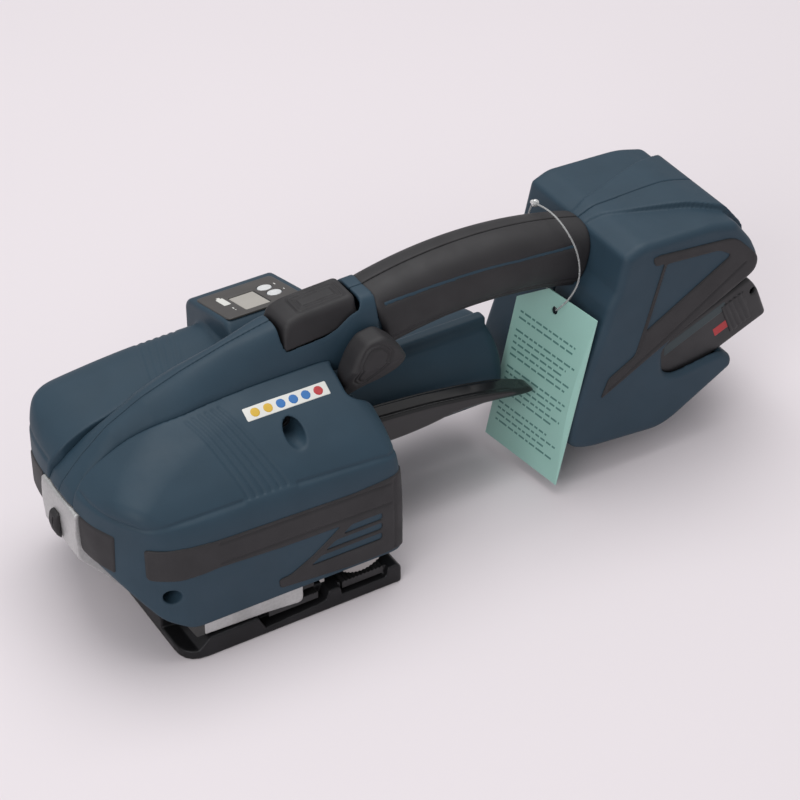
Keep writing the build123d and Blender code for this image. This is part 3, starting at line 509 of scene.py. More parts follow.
def spine_form(x, s, z):
    """A rounded ridge that falls from the seam to the valley beside each head cover."""
    top = np.interp(x, *zip(*SPINE_TOP)).astype(np.float32)
    fall = top - np.interp(x, *zip(*VALLEY)).astype(np.float32)
    half = spine_half(x) + 1.3 * ramp((x - 50) / 12)
    power = 2.0 + 1.4 * ramp((x + 5) / 30) + 2.2 * ramp((x - 40) / 25)
    share = np.abs(s) / half
    slope = fall * power / half * share ** (power - 1)
    roof = (z - top + fall * share ** power) / np.sqrt(1 + slope * slope + 0.12)
    side = poly(x, z, SPINE_SIDE)
    return rmax(rmax(side, roof, 1.0), np.abs(s) - half - 0.2, 1.0)


def spine_shell(x, s, z):
    """Half of the hollow spine and the handle's tube, with the tension button's well and stem hole."""
    form = spine_form(x, s, z)
    d = np.maximum(form, -(form + SHELL))
    well = np.maximum(cuboid(x, s, z, (23.2, -12, 90), (64.8, 12, 140), 3), 111.2 + 0.085 * (x - 24) - z)
    stem = np.maximum(np.hypot(x - STEM_X, s) - 4, 105 - z)
    d = rmax(d, -np.minimum(well, stem), 0.6)
    _, tube = handle_tube(s, arc_place(x, z)[1])
    tube = np.maximum(np.maximum(tube, 68 - x), x - 160)
    d = np.minimum(np.maximum(d, x - ARC_START[0]), tube)
    return rmax(d, 0.08 - s, 0.5)


def rear_form(x, s, z):
    """The rear housing's outside, with a raised strip that widens towards the rear of its top."""
    strip = np.abs(s) - 6 - 0.34 * np.clip(x - 195, 0, 80)
    lift = (1.0 + 2.0 * ramp((x - 200) / 40)) * ramp((0.6 - strip) / 1.2) * ramp((z - 106) / 10)
    side = poly(x, z, REAR_SIDE) + 2.2 - lift
    side = side - 2.2 * ramp((108 - z) / 10)
    return rmax(side, np.abs(s) - 42, 4.2)


def rear_shell(x, s, z):
    """Half of the hollow rear housing and the handle's rear root, open where the battery slides in."""
    form = rear_form(x, s, z)
    d = np.maximum(form, -(form + SHELL))
    along, up = pack_place(x, z)
    room = np.maximum(np.maximum(np.abs(s) - PACK_HALF - PLAY, -PLAY - up), up - PACK_HEIGHT - 1.4 * PLAY)
    rail = np.maximum(np.maximum(np.abs(s) - RAIL_HALF - PLAY, -up), up - RAIL_TOP - PLAY)
    room = np.maximum(np.minimum(room, rail), -PACK_LENGTH - PLAY - along)
    d = rmax(d, -room, 0.6)
    core, tube = handle_tube(s, arc_place(x, z)[1])
    tube = np.maximum(np.maximum(tube, 160.2 - x), x - 196)
    d = np.minimum(np.maximum(d, -(core + SHELL)), tube)
    return rmax(d, 0.05 - s, 0.2)


for label, side in SIDES:
    low, high = sorted((0, side * 20))
    mesh_piece(f"spine_shell_{label}", on_side(spine_shell, side), (-90, low, 64), (161, high, 139), 0.6,
               "housing", "teal_plastic", TEAL, (f"body_shell_{label}",))
for label, side in SIDES:
    low, high = sorted((0, side * 44))
    mesh_piece(f"rear_shell_{label}", on_side(rear_shell, side), (159, low, 12), (276, high, 136), 0.75,
               "housing", "teal_plastic", TEAL, (f"body_shell_{label}",))

# ------------------------------------------------------------------ handle grip
INLAY = [(5, 10.6), (22, 8.8), (39, 7.6), (76, 6.2), (95, 7.2), (108, 8.6)]
GRIP_LENGTH = 118
GRIP_LIP = [(0, -7.4), (7, -8.6), (38, -11.6), (80, -10.8), (110, -10.2)]


def inlay_line(along, height):
    """Distance from the coloured line along each side of the grip, which ends short of its ends."""
    line = height - np.interp(along, *zip(*INLAY)).astype(np.float32)
    return np.maximum(np.abs(line), np.abs(along - 57) - 50)


def grip_skin(s, along, height):
    """The smooth outside of the grip, a little fuller at its middle."""
    bulge = np.sin(np.clip(along / GRIP_LENGTH, 0, 1) * math.pi)
    return oval(s, height + 0.6, 16.3 + bulge * 0.6, 17.3, 2.5)


def grip_pad(x, s, z):
    """Half of the rubber grip, with a double seam low on its side and a groove for the coloured line."""
    along, height = arc_place(x, z)
    d = grip_skin(s, along, height)
    low = np.interp(along, *zip(*GRIP_LIP)).astype(np.float32)
    band = np.minimum(np.abs(height - low), np.abs(height - low + 2.4))
    sides_only = ramp((np.abs(s) - 6) / 4)
    d = d + groove(band, 1.4, 0.8) * sides_only
    d = d + groove(inlay_line(along, height), 2.2, 0.7) * sides_only
    d = rmax(d, np.maximum(2.0 - along, along - GRIP_LENGTH), 2.5)
    d = np.maximum(d, -oval(s, height, CORE[0] + 0.2, CORE[1] + 0.2, 2.0))
    return rmax(d, 0.12 - s, 0.7)


def grip_inlay(x, s, z):
    along, height = arc_place(x, z)
    skin = grip_skin(s, along, height) + 0.35
    return np.maximum(np.maximum(np.maximum(skin, -0.9 - skin), inlay_line(along, height) - 0.75), 6 - s)


for label, side in SIDES:
    low, high = sorted((side * 12, side * 18))
    mesh_piece(f"grip_inlay_{label}", on_side(grip_inlay, side), (76, low, 118), (180, high, 133), 0.4,
               "housing", "teal_plastic", TEAL, (f"grip_{label}",))
for label, side in SIDES:
    low, high = sorted((0, side * 20))
    mesh_piece(f"grip_pad_{label}", on_side(grip_pad, side), (70, low, 86), (196, high, 140), 0.6,
               "housing", "black_rubber", RUBBER, (f"grip_{label}",))


# ------------------------------------------------------------------ motor cover
def motor_cover(x, y, z):
    """A round can, closed and rounded at the rear, with a rib along its top."""
    radial = np.hypot(y - MOTOR_AXIS[0], z - MOTOR_AXIS[1]) - MOTOR_RADIUS
    outer = rmax(radial, x - 152.5, 9)
    rib = cuboid(x, y, z, (61, 12, 68), (149, 19, 76.5), 2.2)
    outer = rmin(outer, rib, 2.0)
    d = np.maximum(outer, -rmax(radial + SHELL, x - 152.5 + SHELL, 7))
    return rmax(d, 61 - x, 0.6)


mesh_piece("motor_shell", motor_cover, (60, -4, 22), (154, 48, 78), 0.6, "housing", "teal_plastic", TEAL,
           ("motor_cover",))

# ------------------------------------------------------------------ rubber bumpers and pads on the head
BUMPER = rounded([
    (-69.5, 50.2), (-69.6, 67.5), (-55.7, 67.3), (-36.7, 65.6), (31.6, 63.6), (70, 66), (70, 19.5),
    (57.4, 21.2), (31, 21.1), (-7.7, 24.4), (-8.3, 29.8), (-2, 30.5), (9.8, 37), (24.4, 48),
    (-3.9, 48.6), (-37.7, 50.6), (-56.8, 49.8),
], 1.8)
BUMPER_SLOTS = [
    [(25.7, 43.2), (46.2, 43.2), (46.2, 46.6), (30.2, 46.6)],
    [(16.4, 37.3), (46.2, 37.3), (46.2, 40.9), (21.6, 40.9)],
    [(8.6, 31.2), (46.2, 31.2), (46.2, 34.9), (13.8, 34.9)],
]
BUMPER_LINES = [[(-37, 63.7), (51.2, 61.6)], [(-37, 52.8), (51.2, 50.8)], [(53.6, 63), (53.6, 23)]]


def bumper(x, s, z, head):
    """The rubber band along a head cover, with a triangular foot cut by three slots."""
    form = head_form(x, s, z, *head)
    area = poly(x, z, BUMPER)
    for slot in BUMPER_SLOTS:
        area = np.maximum(area, -poly(x, z, rounded(slot, 1.2)))
    skin = form - 0.9 + groove(lines(x, z, *BUMPER_LINES), 1.3, 0.7)
    d = rmax(rmax(skin, area, 0.6), 40 - s, 0.6)
    return np.maximum(d, -(form + 0.6))


def nose_pad(x, s, z, head):
    """The rubber pad on the swept corner beside the nose plate."""
    form = head_form(x, s, z, *head)
    low = 51.0 - 0.1 * (s - 17)
    d = rmax(form - 0.7, np.maximum(18.4 - s, s - 38.2 - 0.04 * (z - 60)), 0.5)
    d = rmax(d, z - 71.8 + 0.08 * (s - 18), 1.6)
    d = rmax(d, low - z, 0.6)
    return np.maximum(np.maximum(d, -(form + 0.6)), x + 60)


mesh_piece("bumper_near", on_side(bumper, -1, NEAR_HEAD), (-80, -63, 18), (62, -39, 74), 0.5, "housing",
           "black_rubber", RUBBER, ("side_bumpers",))
mesh_piece("bumper_far", on_side(bumper, 1, FAR_HEAD), (-86, 39, 18), (62, 64, 74), 0.6, "housing",
           "black_rubber", RUBBER, ("side_bumpers",))
mesh_piece("nose_pad_near", on_side(nose_pad, -1, NEAR_HEAD), (-90, -41, 46), (-68, -17, 74), 0.4, "housing",
           "black_rubber", RUBBER, ("nose_pads",))
mesh_piece("nose_pad_far", on_side(nose_pad, 1, FAR_HEAD), (-91, 17, 46), (-68, 41, 74), 0.5, "housing",
           "black_rubber", RUBBER, ("nose_pads",))

# ------------------------------------------------------------------ stripes on the rear housing
STRIPE = rounded([
    (180.8, 48.4, 1), (184.8, 58.8, 2), (199.9, 67.2, 2), (203.8, 80), (213.9, 116.0, 1), (208.5, 116.2, 2),
    (207, 121.2, 2.5), (211, 121.8), (256, 117.2, 6), (272.5, 100, 8), (270.2, 91, 3), (219.3, 68.6),
], 2)
STRIPE_WINDOW = rounded([(215.8, 115.4), (246.5, 112.6, 3), (254.5, 107.5, 3), (205.8, 79.8)], 1.2)
STRIPE_LINES = [[(185.2, 52.5), (221, 73.5), (263.5, 100.5)], [(214.8, 115), (204.6, 80), (201.4, 68.8)]]


def stripe(x, s, z):
    """The rubber stripe along the side of the rear housing and round a window up to its top."""
    form = rear_form(x, s, z)
    area = np.maximum(poly(x, z, STRIPE), -poly(x, z, STRIPE_WINDOW))
    skin = form - 0.8 + groove(lines(x, z, *STRIPE_LINES), 1.1, 0.6)
    d = rmax(rmax(skin, area, 0.6), 30 - s, 0.5)
    return np.maximum(d, -(form + 0.6))


mesh_piece("stripe_near", on_side(stripe, -1), (178, -44, 44), (276, -29, 124), 0.5, "housing",
           "black_rubber", RUBBER, ("rear_stripes",))
mesh_piece("stripe_far", on_side(stripe, 1), (178, 29, 44), (276, 44, 124), 0.6, "housing",
           "black_rubber", RUBBER, ("rear_stripes",))

# ------------------------------------------------------------------ tension button
BUTTON = rounded([(24.1, 114.8, 1), (64, 118.2, 1), (62.8, 132.6), (33, 131.2, 5), (25.5, 128.5)], 3)


def button(x, y, z):
    """The button's cap, with three rings round its top, and the stem below it."""
    side = poly(x, z, BUTTON)
    wide = np.abs(y) - 10.6 + 0.09 * (z - 125)
    d = rmax(side, wide, 1.2 + 2.0 * ramp((z - 121) / 6))
    top = rmax(np.abs(x - 47) - 12.5, np.abs(y) - 6.6, 2.2)
    rings = np.minimum(np.abs(top), np.minimum(np.abs(top + 1.9), np.abs(top + 3.4)))
    d = d + groove(rings, 1.0, 0.6) * ramp((z - 128.5) / 1.5)
    return np.minimum(d, np.maximum(np.hypot(x - STEM_X, y) - 3, np.maximum(z - 117, 110 - z)))


mesh_piece("tension_button_cap", button, (23, -12, 109), (66, 12, 134), 0.4, "tension_button",
           "black_plastic", RUBBER, ("tension_button",))

# ------------------------------------------------------------------ welding lever
LEVER_FACE = rounded([
    (45.8, 86), (47.2, 103), (52, 113.5), (57.2, 119, 2), (66, 120.5, 3), (74, 113.5, 3), (79.2, 103.5),
    (77.5, 95.5), (69.5, 89.5), (59, 87), (54, 83.5), (49.5, 79.5), (46, 81),
], 3.5)
LEVER_FLAT = rounded([
    (53.2, 99), (54.6, 109.5), (58.3, 115.6), (64, 116.2), (68.2, 111), (64.5, 102), (57.5, 94),
], 2)


def weld_lever(x, y, z):
    """The lever's broad flat head, with two rings round its face and a hole for its pin."""
    side = poly(x, z, LEVER_FACE)
    wide = np.maximum((-31.5 + 0.6 * np.clip(106 - z, 0, 30) - y) * 0.9, y + 17.2)
    d = rmax(side, wide, 3.2)
    flat = poly(x, z, LEVER_FLAT)
    rings = np.minimum(np.abs(flat), np.abs(flat - 1.8))
    d = d + groove(rings, 1.2, 0.6) * ramp((-22 - y) / 2)
    pin = np.hypot(x - 50, z - 84)
    return rmax(d, 3.05 - pin, 0.3)


mesh_piece("weld_lever_pad", weld_lever, (43, -35, 77), (80, -15, 122), 0.4, "weld_lever", "black_plastic",
           RUBBER, ("weld_lever",))

# ------------------------------------------------------------------ rocker lever
PADDLE_Y = -14.5
PADDLE = rounded([
    (57.3, 52), (70, 50), (86, 50), (99, 51), (111, 53), (125, 52.4), (142, 50), (154, 47.2, 2),
    (158, 47.4, 2), (156, 50, 3), (142, 54.8), (120, 59.6), (98, 63), (78, 65), (64, 66), (57.3, 64),
], 6)


def paddle(x, y, z):
    """The glossy finger lever, with a groove along each edge."""
    side = poly(x, z, PADDLE)
    off = np.abs(y - PADDLE_Y)
    d = rmax(side, off - 6.6 + 1.6 * ramp((x - 138) / 20) ** 2, 2.2)
    rim = np.abs(off - 4.4)
    return d + groove(rim, 1.1, 0.4) * ramp((x - 66) / 4) * ramp((146 - x) / 6)


mesh_piece("rocker_paddle", paddle, (56, -22, 44), (160, -7, 68), 0.45, "tension_rocker", "gloss_black",
           GLOSS, ("rocker_lever",))


# ------------------------------------------------------------------ battery
def pack_case(x, y, z):
    """The hollow case, with its upper rear edge cut back and a small hole in each side."""
    along, up = pack_place(x, z)
    d = cuboid(along, y, up, (-PACK_LENGTH, -PACK_HALF, 0), (0, PACK_HALF, PACK_HEIGHT), 2.4)
    chamfer = (along + up * 0.35 - 7.0) * 0.94
    d = rmax(d, chamfer, 1.6)
    hole = np.maximum(np.hypot(along + 3.4, up - 20) - 1.9, PACK_HALF - 4 - np.abs(y))
    d = rmax(d, -hole, 0.5)
    wall = 2
    inside = ((wall - PACK_LENGTH, wall - PACK_HALF, wall), (-wall, PACK_HALF - wall, PACK_HEIGHT - wall))
    return np.maximum(d, -cuboid(along, y, up, *inside, 1))


def pack_rail(x, y, z):
    """The block on top of the case that slides into the housing, with three slots for the contacts."""
    along, up = pack_place(x, z)
    d = cuboid(along, y, up, (-90, -RAIL_HALF, PACK_HEIGHT + 0.1), (-6, RAIL_HALF, RAIL_TOP), 1.5)
    for place in (-12, 0, 12):
        d = rmax(d, -cuboid(along, y, up, (-92, place - 2, 31), (-80, place + 2, 36), 0.5), 0.3)
    return d


def pack_latch(x, s, z):
    """A grooved pad to press on the side of the pack."""
    along, up = pack_place(x, z)
    d = cuboid(along, s, up, (-22.6, 36.9, 5.5), (-8.4, 38.6, 24.5), 0.7)
    grips = np.abs((along + 0.06 * up + 1.0) % 2.9 - 1.45)
    return d + groove(grips, 1.1, 0.6) * ramp((s - 37.6) / 0.6)


mesh_piece("battery_body", pack_case, (184, -39.5, 20), (288, 39.5, 92), 0.85, "battery",
           "battery_plastic", BLACK, ("battery_case",))
mesh_piece("battery_rail_block", pack_rail, (186, -28, 50), (280, 28, 98), 0.7, "battery",
           "battery_plastic", BLACK, ("battery_lid",))
for label, side in SIDES:
    low, high = sorted((side * 36, side * 40))
    mesh_piece(f"latch_{label}_pad", on_side(pack_latch, side), (250, low, 50), (280, high, 86), 0.4,
               f"latch_{label}", "black_plastic", BLACK, (f"battery_latch_{label}",))


def pack_mark(outline):
    """A flat label on the near side of the pack, outlined in places along and up the pack."""
    def field(x, y, z):
        along, up = pack_place(x, z)
        return np.maximum(poly(along, up, rounded(outline, 0.5)), np.abs(y + 37.8) - 0.25)
    return field


PACK_BAND = [(-60, 20.5), (-58, 26.6), (-19.5, 26.6), (-19.5, 21.2)]
PACK_PLATE = [(-31, 9.6), (-31, 15), (-19.6, 15), (-19.6, 9.6)]
mesh_piece("battery_band", pack_mark(PACK_BAND), (220, -38.4, 50), (272, -37, 92), 0.3, "battery",
           "battery_plastic", LABEL)
mesh_piece("battery_label", pack_mark(PACK_PLATE), (248, -38.4, 54), (270, -37, 72), 0.3, "battery",
           "battery_plastic", RED)

# ------------------------------------------------------------------ base plate, foot, nose plate and lug
# along the plate's near edge: how high its cut-away step is, and how far in it goes
EDGE_TOP = [
    (-58, 5), (-50, 5), (-43.8, 11.5), (-19.5, 11.5), (-15.5, 3.6), (12, 5.4), (16.4, 6.4), (18.2, 11.5),
    (23.8, 11.5), (25, 6), (48.7, 6), (50, 11.5), (58, 11.5),
]
EDGE_DEPTH = [(-58, 24), (-46, 22), (-43, 5), (-20, 5), (-18, 7.5), (23, 7.5), (24.5, 2.9), (58, 2.9)]
PLATE_PLAN = rounded([(-57.5, -60, 12), (57.5, -60, 2), (57.5, 38, 5), (-57.5, 38, 5)], 4)
FRAME_SCREWS = [(-44, 12), (-44, 30), (46, 12), (46, 30)]


def base_plate(x, y, z):
    """The plate on the floor, stepped along its near edge, with two pockets and four countersunk holes."""
    d = rmax(poly(x, y, PLATE_PLAN), np.abs(z - 5.5) - 5.5, 0.9)
    d = rmax(d, (x + z - 66.0) * 0.707, 0.5)
    edge = np.interp(x, *zip(*EDGE_TOP)).astype(np.float32)
    depth = np.interp(x, *zip(*EDGE_DEPTH)).astype(np.float32)
    d = rmax(d, -np.maximum((edge - z) * 0.8, y + 60 - depth), 0.5)
    for low, high in ((26, 48), (-13, 13)):
        d = rmax(d, -cuboid(x, y, z, (low, -57.2, 6), (high, -42.8, 14), 0.4), 0.3)
    for a, b in FRAME_SCREWS:
        away = np.hypot(x - a, y - b)
        d = rmax(d, -np.minimum(away - 2.1, np.maximum(away - 4, z - 4)), 0.3)
    return d


FOOT_SIDE = rounded([(-46, 12.6), (-14, 11.4), (5, 9.6, 3.4), (5, 19.6, 1), (-46, 19.6)], 0.8)
NOSE_SIDE = rounded([
    (-87.5, 46), (-88.5, 60), (-87.8, 71), (-80, 71), (-76, 60), (-66, 40), (-56, 22), (-60, 14),
    (-64, 16), (-76, 32),
], 1.5)
LUG_SIDE = rounded([(-88, 47), (-90.6, 50), (-91.9, 56), (-91, 61.5), (-88, 62.5)], 1.5)


def strap_foot(x, y, z):
    """The thin lip of the foot that the strap runs over, along the near edge."""
    return rmax(poly(x, z, FOOT_SIDE), np.abs(y + 57.9) - 0.55, 0.4)


def nose_plate(x, y, z):
    """The sloping plate at the front, with a slot up its inside."""
    d = rmax(poly(x, z, NOSE_SIDE), np.abs(y) - 17.6, 0.8)
    return rmax(d, -cuboid(x, y, z, (-73, -4.3, 10), (-40, 4.3, 66), 1), 0.5)


def nose_lug(x, y, z):
    """The rubber stop on the nose plate, with a slit down its face."""
    outer = poly(x, z, LUG_SIDE)
    slit = np.maximum(np.abs(y + 0.6) - 0.5, np.abs(z - 54) - 6)
    return rmax(rmax(outer, np.abs(y - 0.8) - 3.6, 1.6), -np.maximum(slit, x + 90), 0.3)


mesh_piece("plate_body", base_plate, (-59, -61, -0.6), (59, 39, 12), 0.65, "housing", "black_steel", OXIDE,
           ("base_plate",))
mesh_piece("strap_foot_lip", strap_foot, (-47, -59, 9), (6, -56, 20.4), 0.35, "housing", "cast_alloy", CAST)
mesh_piece("nose_casting", nose_plate, (-90, -19, 12), (-54, 19, 73), 0.5, "housing", "cast_alloy", CAST,
           ("nose_plate",))
mesh_piece("nose_stop", nose_lug, (-93, -5, 45), (-87, 6, 64), 0.3, "housing", "black_rubber", RUBBER,
           ("nose_lug",))

# ------------------------------------------------------------------ socket screws in the covers
def cover_screw(x, s, z, spot, top):
    """A screw with a hexagon socket; top is how far out from the seam plane its head reaches."""
    away = np.hypot(x - spot[0], z - spot[1])
    head = rmax(away - 3.4, np.abs(s - top + 2) - 2, 0.4)
    angle = np.arctan2(z - spot[1], x - spot[0])
    hexagon = away * np.cos((angle + math.pi / 6) % (math.pi / 3) - math.pi / 6) - 1.5
    head = rmax(head, -np.maximum(hexagon, top - 1.8 - s), 0.2)
    return np.minimum(head, np.maximum(away - 1.7, np.maximum(s - top + 3, top - 16 - s)))


for label, side in SIDES:
    for index, (spot, _, depth) in enumerate((TOP_RECESS, CORNER_RECESS)):
        top = depth + 1.5
        low, high = sorted((side * (top - 17), side * (top + 1)))
        mesh_piece(f"cover_screw_{label}_{index + 1}", on_side(cover_screw, side, spot, top),
                   (spot[0] - 4, low, spot[1] - 4), (spot[0] + 4, high, spot[1] + 4), 0.3,
                   "housing", "black_steel", OXIDE, ("cover_screws",))

# ------------------------------------------------------------------ panel film, display, keys and marks
PANEL_CENTRE = (33.0, 38.5, 113.2)
TILT = math.radians(15)
SET_KEY = (10.6, 5.3)
MODE_KEY = (11.2, -3.9)


def panel_place(x, y, z):
    """Place along and across the tilted panel, and height above it."""
    dy, dz = y - PANEL_CENTRE[1], z - PANEL_CENTRE[2]
    c, s = math.cos(TILT), math.sin(TILT)
    return x - PANEL_CENTRE[0], dy * c - dz * s, dy * s + dz * c


def panel_film(x, y, z):
    """The film over the panel, cut out for the display and the two keys."""
    u, v, w = panel_place(x, y, z)
    outline = poly(u, v, rounded([(-20, -17.5), (20, -17.5), (20, 17.5), (-20, 17.5)], 2.5))
    d = rmax(outline, np.abs(w + 0.1) - 0.5, 0.15)
    screen = cuboid(u, v, w, (-8.4, -13.2, -1), (4.9, 6.3, 1), 0.6)
    keys = np.min([np.hypot(u - a, v - b) for a, b in (SET_KEY, MODE_KEY)], axis=0) - 3.9
    return np.maximum(d, -np.minimum(screen, keys))


def display(x, y, z):
    u, v, w = panel_place(x, y, z)
    return cuboid(u, v, w, (-8.2, -13.0, -0.6), (4.7, 6.1, 0.15), 0.3)


def key(x, y, z, centre):
    """A round key, slightly domed, with a short dash cut in its top."""
    u, v, w = panel_place(x, y, z)
    away = np.hypot(u - centre[0], v - centre[1])
    d = rmax(away - 3.55, np.abs(w + 0.2) - 0.9 + 0.02 * away * away, 0.35)
    dash = np.maximum(np.abs(u - centre[0]) - 1.3, np.abs(v - centre[1]) - 0.35)
    return d + groove(dash, 0.5, 0.3) * ramp(w / 0.3)


def panel_marks(x, y, z):
    """A plain battery shape with two bars beside it, and a dash beside each key."""
    u, v, w = panel_place(x, y, z)
    cell = poly(u, v, rounded([(-13.8, -1.3), (-10.2, -1.3), (-10.2, 8.6), (-13.8, 8.6)], 0.5))
    cell = np.minimum(cell, np.maximum(np.abs(u + 12) - 0.9, np.abs(v - 9.5) - 0.8))
    for a, b, wide in ((-12, -9.5, 0.4), (-12, -6.8, 0.9), (16.2, 5.6, 1.0), (16.6, -3.6, 0.8)):
        cell = np.minimum(cell, np.maximum(np.abs(u - a) - 0.35, np.abs(v - b) - wide))
    return np.maximum(cell, np.abs(w - 0.4) - 0.15)


mesh_piece("panel_film_sheet", panel_film, (12, 20, 107), (54, 57, 119), 0.3, "housing", "panel_film", FILM,
           ("panel_overlay",))
mesh_piece("display_pane", display, (24, 24, 109), (39, 46, 118), 0.3, "housing", "display_glass", GLASS,
           ("display_window",))
mesh_piece("set_key_cap", on_side(key, 1, SET_KEY), (39, 39, 108), (48, 48, 115), 0.25, "set_key",
           "white_key", WHITE, ("set_key",))
mesh_piece("mode_key_cap", on_side(key, 1, MODE_KEY), (40, 30, 110), (49, 40, 117), 0.25, "mode_key",
           "white_key", WHITE, ("mode_key",))
mesh_piece("panel_marks", panel_marks, (18, 28, 108), (51, 50, 117), 0.25, "housing", "panel_film", PAPER)

# ------------------------------------------------------------------ plain strip with dots on the near cover
STRIP_HALF_LENGTH = 21.4
STRIP_HALF_WIDTH = 3.4
STRIP_BOX = ((-6, -33, 95), (41, -19, 107))
STRIP_DOTS = (("amber", (5.2, 11.8), AMBER), ("blue", (18.3, 24.8, 31.2), BLUE), ("red", (37.7,), RED))


def strip_place(x, s, z):
    """Place along the strip and down its slope, from its front upper corner."""
    dx, out, up = x + 4.9, s - 23.1, z - 102.1
    return dx + 0.024 * up, (out - 0.027 * dx) * 0.82 - (up - 0.0235 * dx) * 0.57


def strip(x, s, z):
    along, across = strip_place(x, s, z)
    area = rmax(np.abs(along - STRIP_HALF_LENGTH) - STRIP_HALF_LENGTH,
                np.abs(across - STRIP_HALF_WIDTH) - STRIP_HALF_WIDTH, 0.5)
    skin = head_form(x, s, z, *NEAR_HEAD)
    return np.maximum(np.maximum(area, skin - 0.15), -(skin + 0.5))


def strip_dots(x, s, z, places):
    along, across = strip_place(x, s, z)
    away = np.min([np.hypot(along - p, across - STRIP_HALF_WIDTH) for p in places], axis=0) - 2.3
    skin = head_form(x, s, z, *NEAR_HEAD)
    return np.maximum(np.maximum(away, skin - 0.3), -(skin + 0.4))


mesh_piece("marker_strip", on_side(strip, -1), *STRIP_BOX, 0.3, "housing", "panel_film", PAPER)
for label, places, tone in STRIP_DOTS:
    mesh_piece(f"marker_dots_{label}", on_side(strip_dots, -1, places), *STRIP_BOX, 0.3, "housing",
               "panel_film", tone)

# ------------------------------------------------------------------ hang tag and its nylon loop
TAG_CORNER = Vector((148.5, 10.1, 6.3))
TAG_OUT = Vector((-0.964, -0.120, 0.235)).normalized()
TAG_ACROSS = Vector((0.123, -0.992, -0.004))
TAG_ACROSS = (TAG_ACROSS - TAG_ACROSS.dot(TAG_OUT) * TAG_OUT).normalized()
TAG_UP = TAG_OUT.cross(TAG_ACROSS)
TAG_WIDTH = 54
TAG_HEIGHT = 92
TAG_OUTLINE = [(0, 0), (TAG_WIDTH, 0), (TAG_WIDTH, TAG_HEIGHT), (19, TAG_HEIGHT), (0, 78)]
HOLE_U, HOLE_V, HOLE_RADIUS, HOLE_SIDES = 26.4, 83.6, 2.2, 24
TAG_HOLE = []
for index in range(HOLE_SIDES):
    turn = 2 * math.pi * index / HOLE_SIDES
    TAG_HOLE.append((HOLE_U + HOLE_RADIUS * math.cos(turn), HOLE_V + HOLE_RADIUS * math.sin(turn)))


def tag_point(u, v, lift):
    """A place on the tag, which bows out a little at its middle."""
    bow = 1.1 * math.sin(math.pi * v / TAG_HEIGHT) - 0.5 * (u / TAG_WIDTH - 0.5) ** 2
    return (TAG_CORNER + u * TAG_ACROSS + v * TAG_UP + (bow + lift) * TAG_OUT) * MM


def clear_of_hole(u, v, gap):
    return math.hypot(u - HOLE_U, v - HOLE_V) > gap


def card_mesh(name, outlines, low, high, finish, pitch=3.0, hole=None):
    """Flat outlines on the tag, given thickness and bent with it."""
    verts, faces = [], []
    for outline in outlines:
        points = [Vector(p) for p in outline]
        edges = [(i, (i + 1) % len(points)) for i in range(len(points))]
        if hole:
            first = len(points)
            points += [Vector(p) for p in hole]
            edges += [(first + i, first + (i + 1) % len(hole)) for i in range(len(hole))]
        us, vs = [p[0] for p in outline], [p[1] for p in outline]
        if pitch:
            for u in np.arange(min(us) + pitch, max(us) - 0.5, pitch):
                for v in np.arange(min(vs) + pitch, max(vs) - 0.5, pitch):
                    if not hole or clear_of_hole(u, v, 3):
                        points.append(Vector((u, v)))
        flat, _, tris, *_ = delaunay_2d_cdt(points, edges, [], 1, 1e-6)
        if hole:
            tris = [t for t in tris if clear_of_hole(*(sum((flat[i] for i in t), Vector((0, 0))) / 3), 2)]
        base, count = len(verts), len(flat)
        verts += [tag_point(p[0], p[1], high) for p in flat] + [tag_point(p[0], p[1], low) for p in flat]
        used = {}
        for a, b, c in tris:
            faces.append((base + a, base + b, base + c))
            faces.append((base + count + c, base + count + b, base + count + a))
            for edge in ((a, b), (b, c), (c, a)):
                used[edge] = used.get(edge, 0) + 1
        for a, b in used:
            if (b, a) not in used:
                faces.append((base + b, base + a, base + count + a, base + count + b))
    data = bpy.data.meshes.new(name)
    data.from_pydata([tuple(v) for v in verts], [], faces)
    data.materials.append(finish)
    obj = new_object(name, data)
    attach(obj, "housing")
    return obj


tag = card_mesh("tag_card", [TAG_OUTLINE], -0.6, 0.0, MINT, hole=TAG_HOLE)
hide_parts("hang_tag")
dice = random.Random(7)
dashes = []
for row in range(19):
    if row in (2, 8, 14):
        continue
    u, v, end = 5.0, 72.0 - row * 3.4, 49.0 - 10 * dice.random()
    while u < end:
        wide = 1.6 + 4.4 * dice.random()
        dashes.append([(u, v), (min(u + wide, end), v), (min(u + wide, end), v + 1.0), (u, v + 1.0)])
        u += wide + 1.1
card_mesh("tag_dashes", dashes, -0.1, 0.05, INK, pitch=0)


def clasp(x, y, z):
    """A small ball with a bead beside it, where the loop's two ends meet."""
    ball = np.sqrt((x - 174.5) ** 2 + (y - 10.7) ** 2 + (z - 134.3) ** 2) - 1.9
    bead = np.sqrt((x - 174.6) ** 2 + (y - 13.3) ** 2 + (z - 133.4) ** 2) - 1.2
    return rmin(ball, bead, 0.4)


clasp_bead = mesh_piece("loop_clasp_bead", clasp, (172, 8, 131), (177, 15, 137), 0.2, "housing",
                        "clear_nylon", NYLON, ("loop_clasp",))
loop = route_curve("nylon_loop", LOOP_ROUTE, 0.45 * MM)
loop.data.materials.append(NYLON)
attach(loop, "housing")
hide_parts("tag_loop")

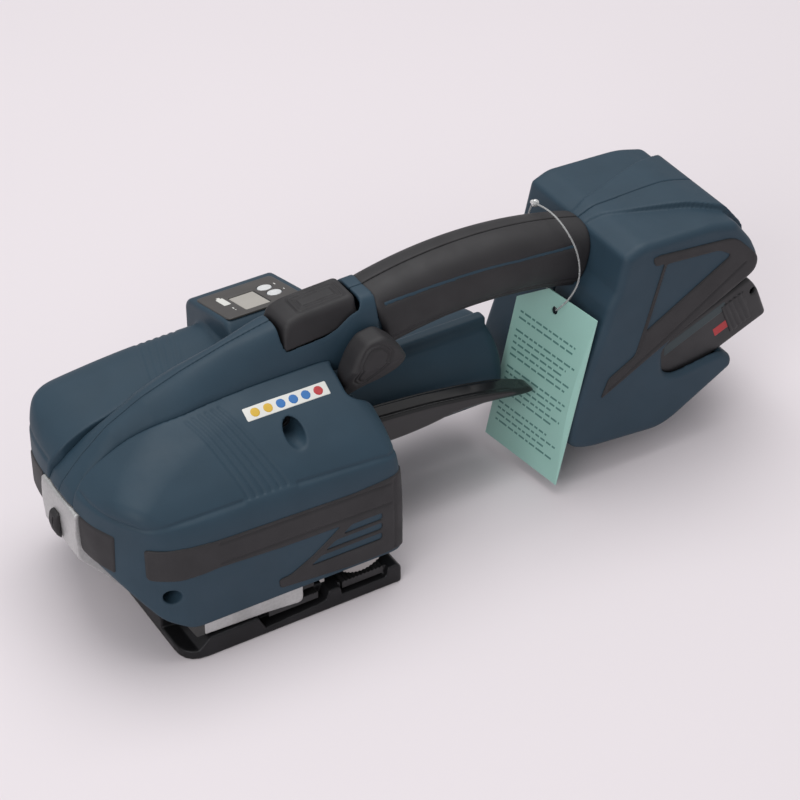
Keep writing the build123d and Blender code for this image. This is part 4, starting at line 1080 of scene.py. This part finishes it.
# ------------------------------------------------------------------ floor and light
def floor_look():
    """Plain pale paper, with the faintest change in tone."""
    made = bpy.data.materials.new("paper_floor")
    made.use_nodes = True
    nodes, links = made.node_tree.nodes, made.node_tree.links
    shader = nodes["Principled BSDF"]
    texture = nodes.new("ShaderNodeTexNoise")
    texture.inputs["Scale"].default_value = 3.0
    place = nodes.new("ShaderNodeTexCoord").outputs["Object"]
    links.new(place, texture.inputs["Vector"])
    shade = nodes.new("ShaderNodeMapRange")
    shade.inputs["To Min"].default_value = 0.98
    shade.inputs["To Max"].default_value = 1.02
    links.new(texture.outputs["Fac"], shade.inputs["Value"])
    tint = nodes.new("ShaderNodeVectorMath")
    tint.operation = "SCALE"
    tint.inputs[0].default_value = (0.74, 0.69, 0.72)
    links.new(shade.outputs["Result"], tint.inputs["Scale"])
    links.new(tint.outputs["Vector"], shader.inputs["Base Color"])
    shader.inputs["Roughness"].default_value = 0.75
    shader.inputs["Specular IOR Level"].default_value = 0.2
    return made


FLOOR_HALF = 6.0
corners = [(u * FLOOR_HALF, v * FLOOR_HALF, 0.0) for u, v in ((-1, -1), (1, -1), (1, 1), (-1, 1))]
floor_data = bpy.data.meshes.new("floor")
floor_data.from_pydata(corners, [], [(0, 1, 2, 3)])
floor_data.materials.append(floor_look())
new_object("floor", floor_data)


def soft_light(name, place, target, size, power):
    data = bpy.data.lights.new(name, "AREA")
    data.shape = "SQUARE"
    data.size = size
    data.energy = power
    obj = new_object(name, data)
    obj.location = place
    obj.rotation_mode = "QUATERNION"
    obj.rotation_quaternion = (Vector(target) - Vector(place)).to_track_quat("-Z", "Y")


soft_light("top_softbox", (0.25, 0.35, 1.7), (0.1, 0.0, 0.0), 1.5, 21)
soft_light("side_fill", (-1.4, -1.0, 1.1), (0.1, 0.0, 0.05), 1.2, 14)
world = bpy.data.worlds.new("studio")
bpy.context.scene.world = world
world.use_nodes = True
backdrop = world.node_tree.nodes["Background"]
backdrop.inputs["Color"].default_value = (1.0, 0.992, 1.0, 1.0)
backdrop.inputs["Strength"].default_value = 0.45
bpy.context.scene.view_settings.view_transform = "Standard"
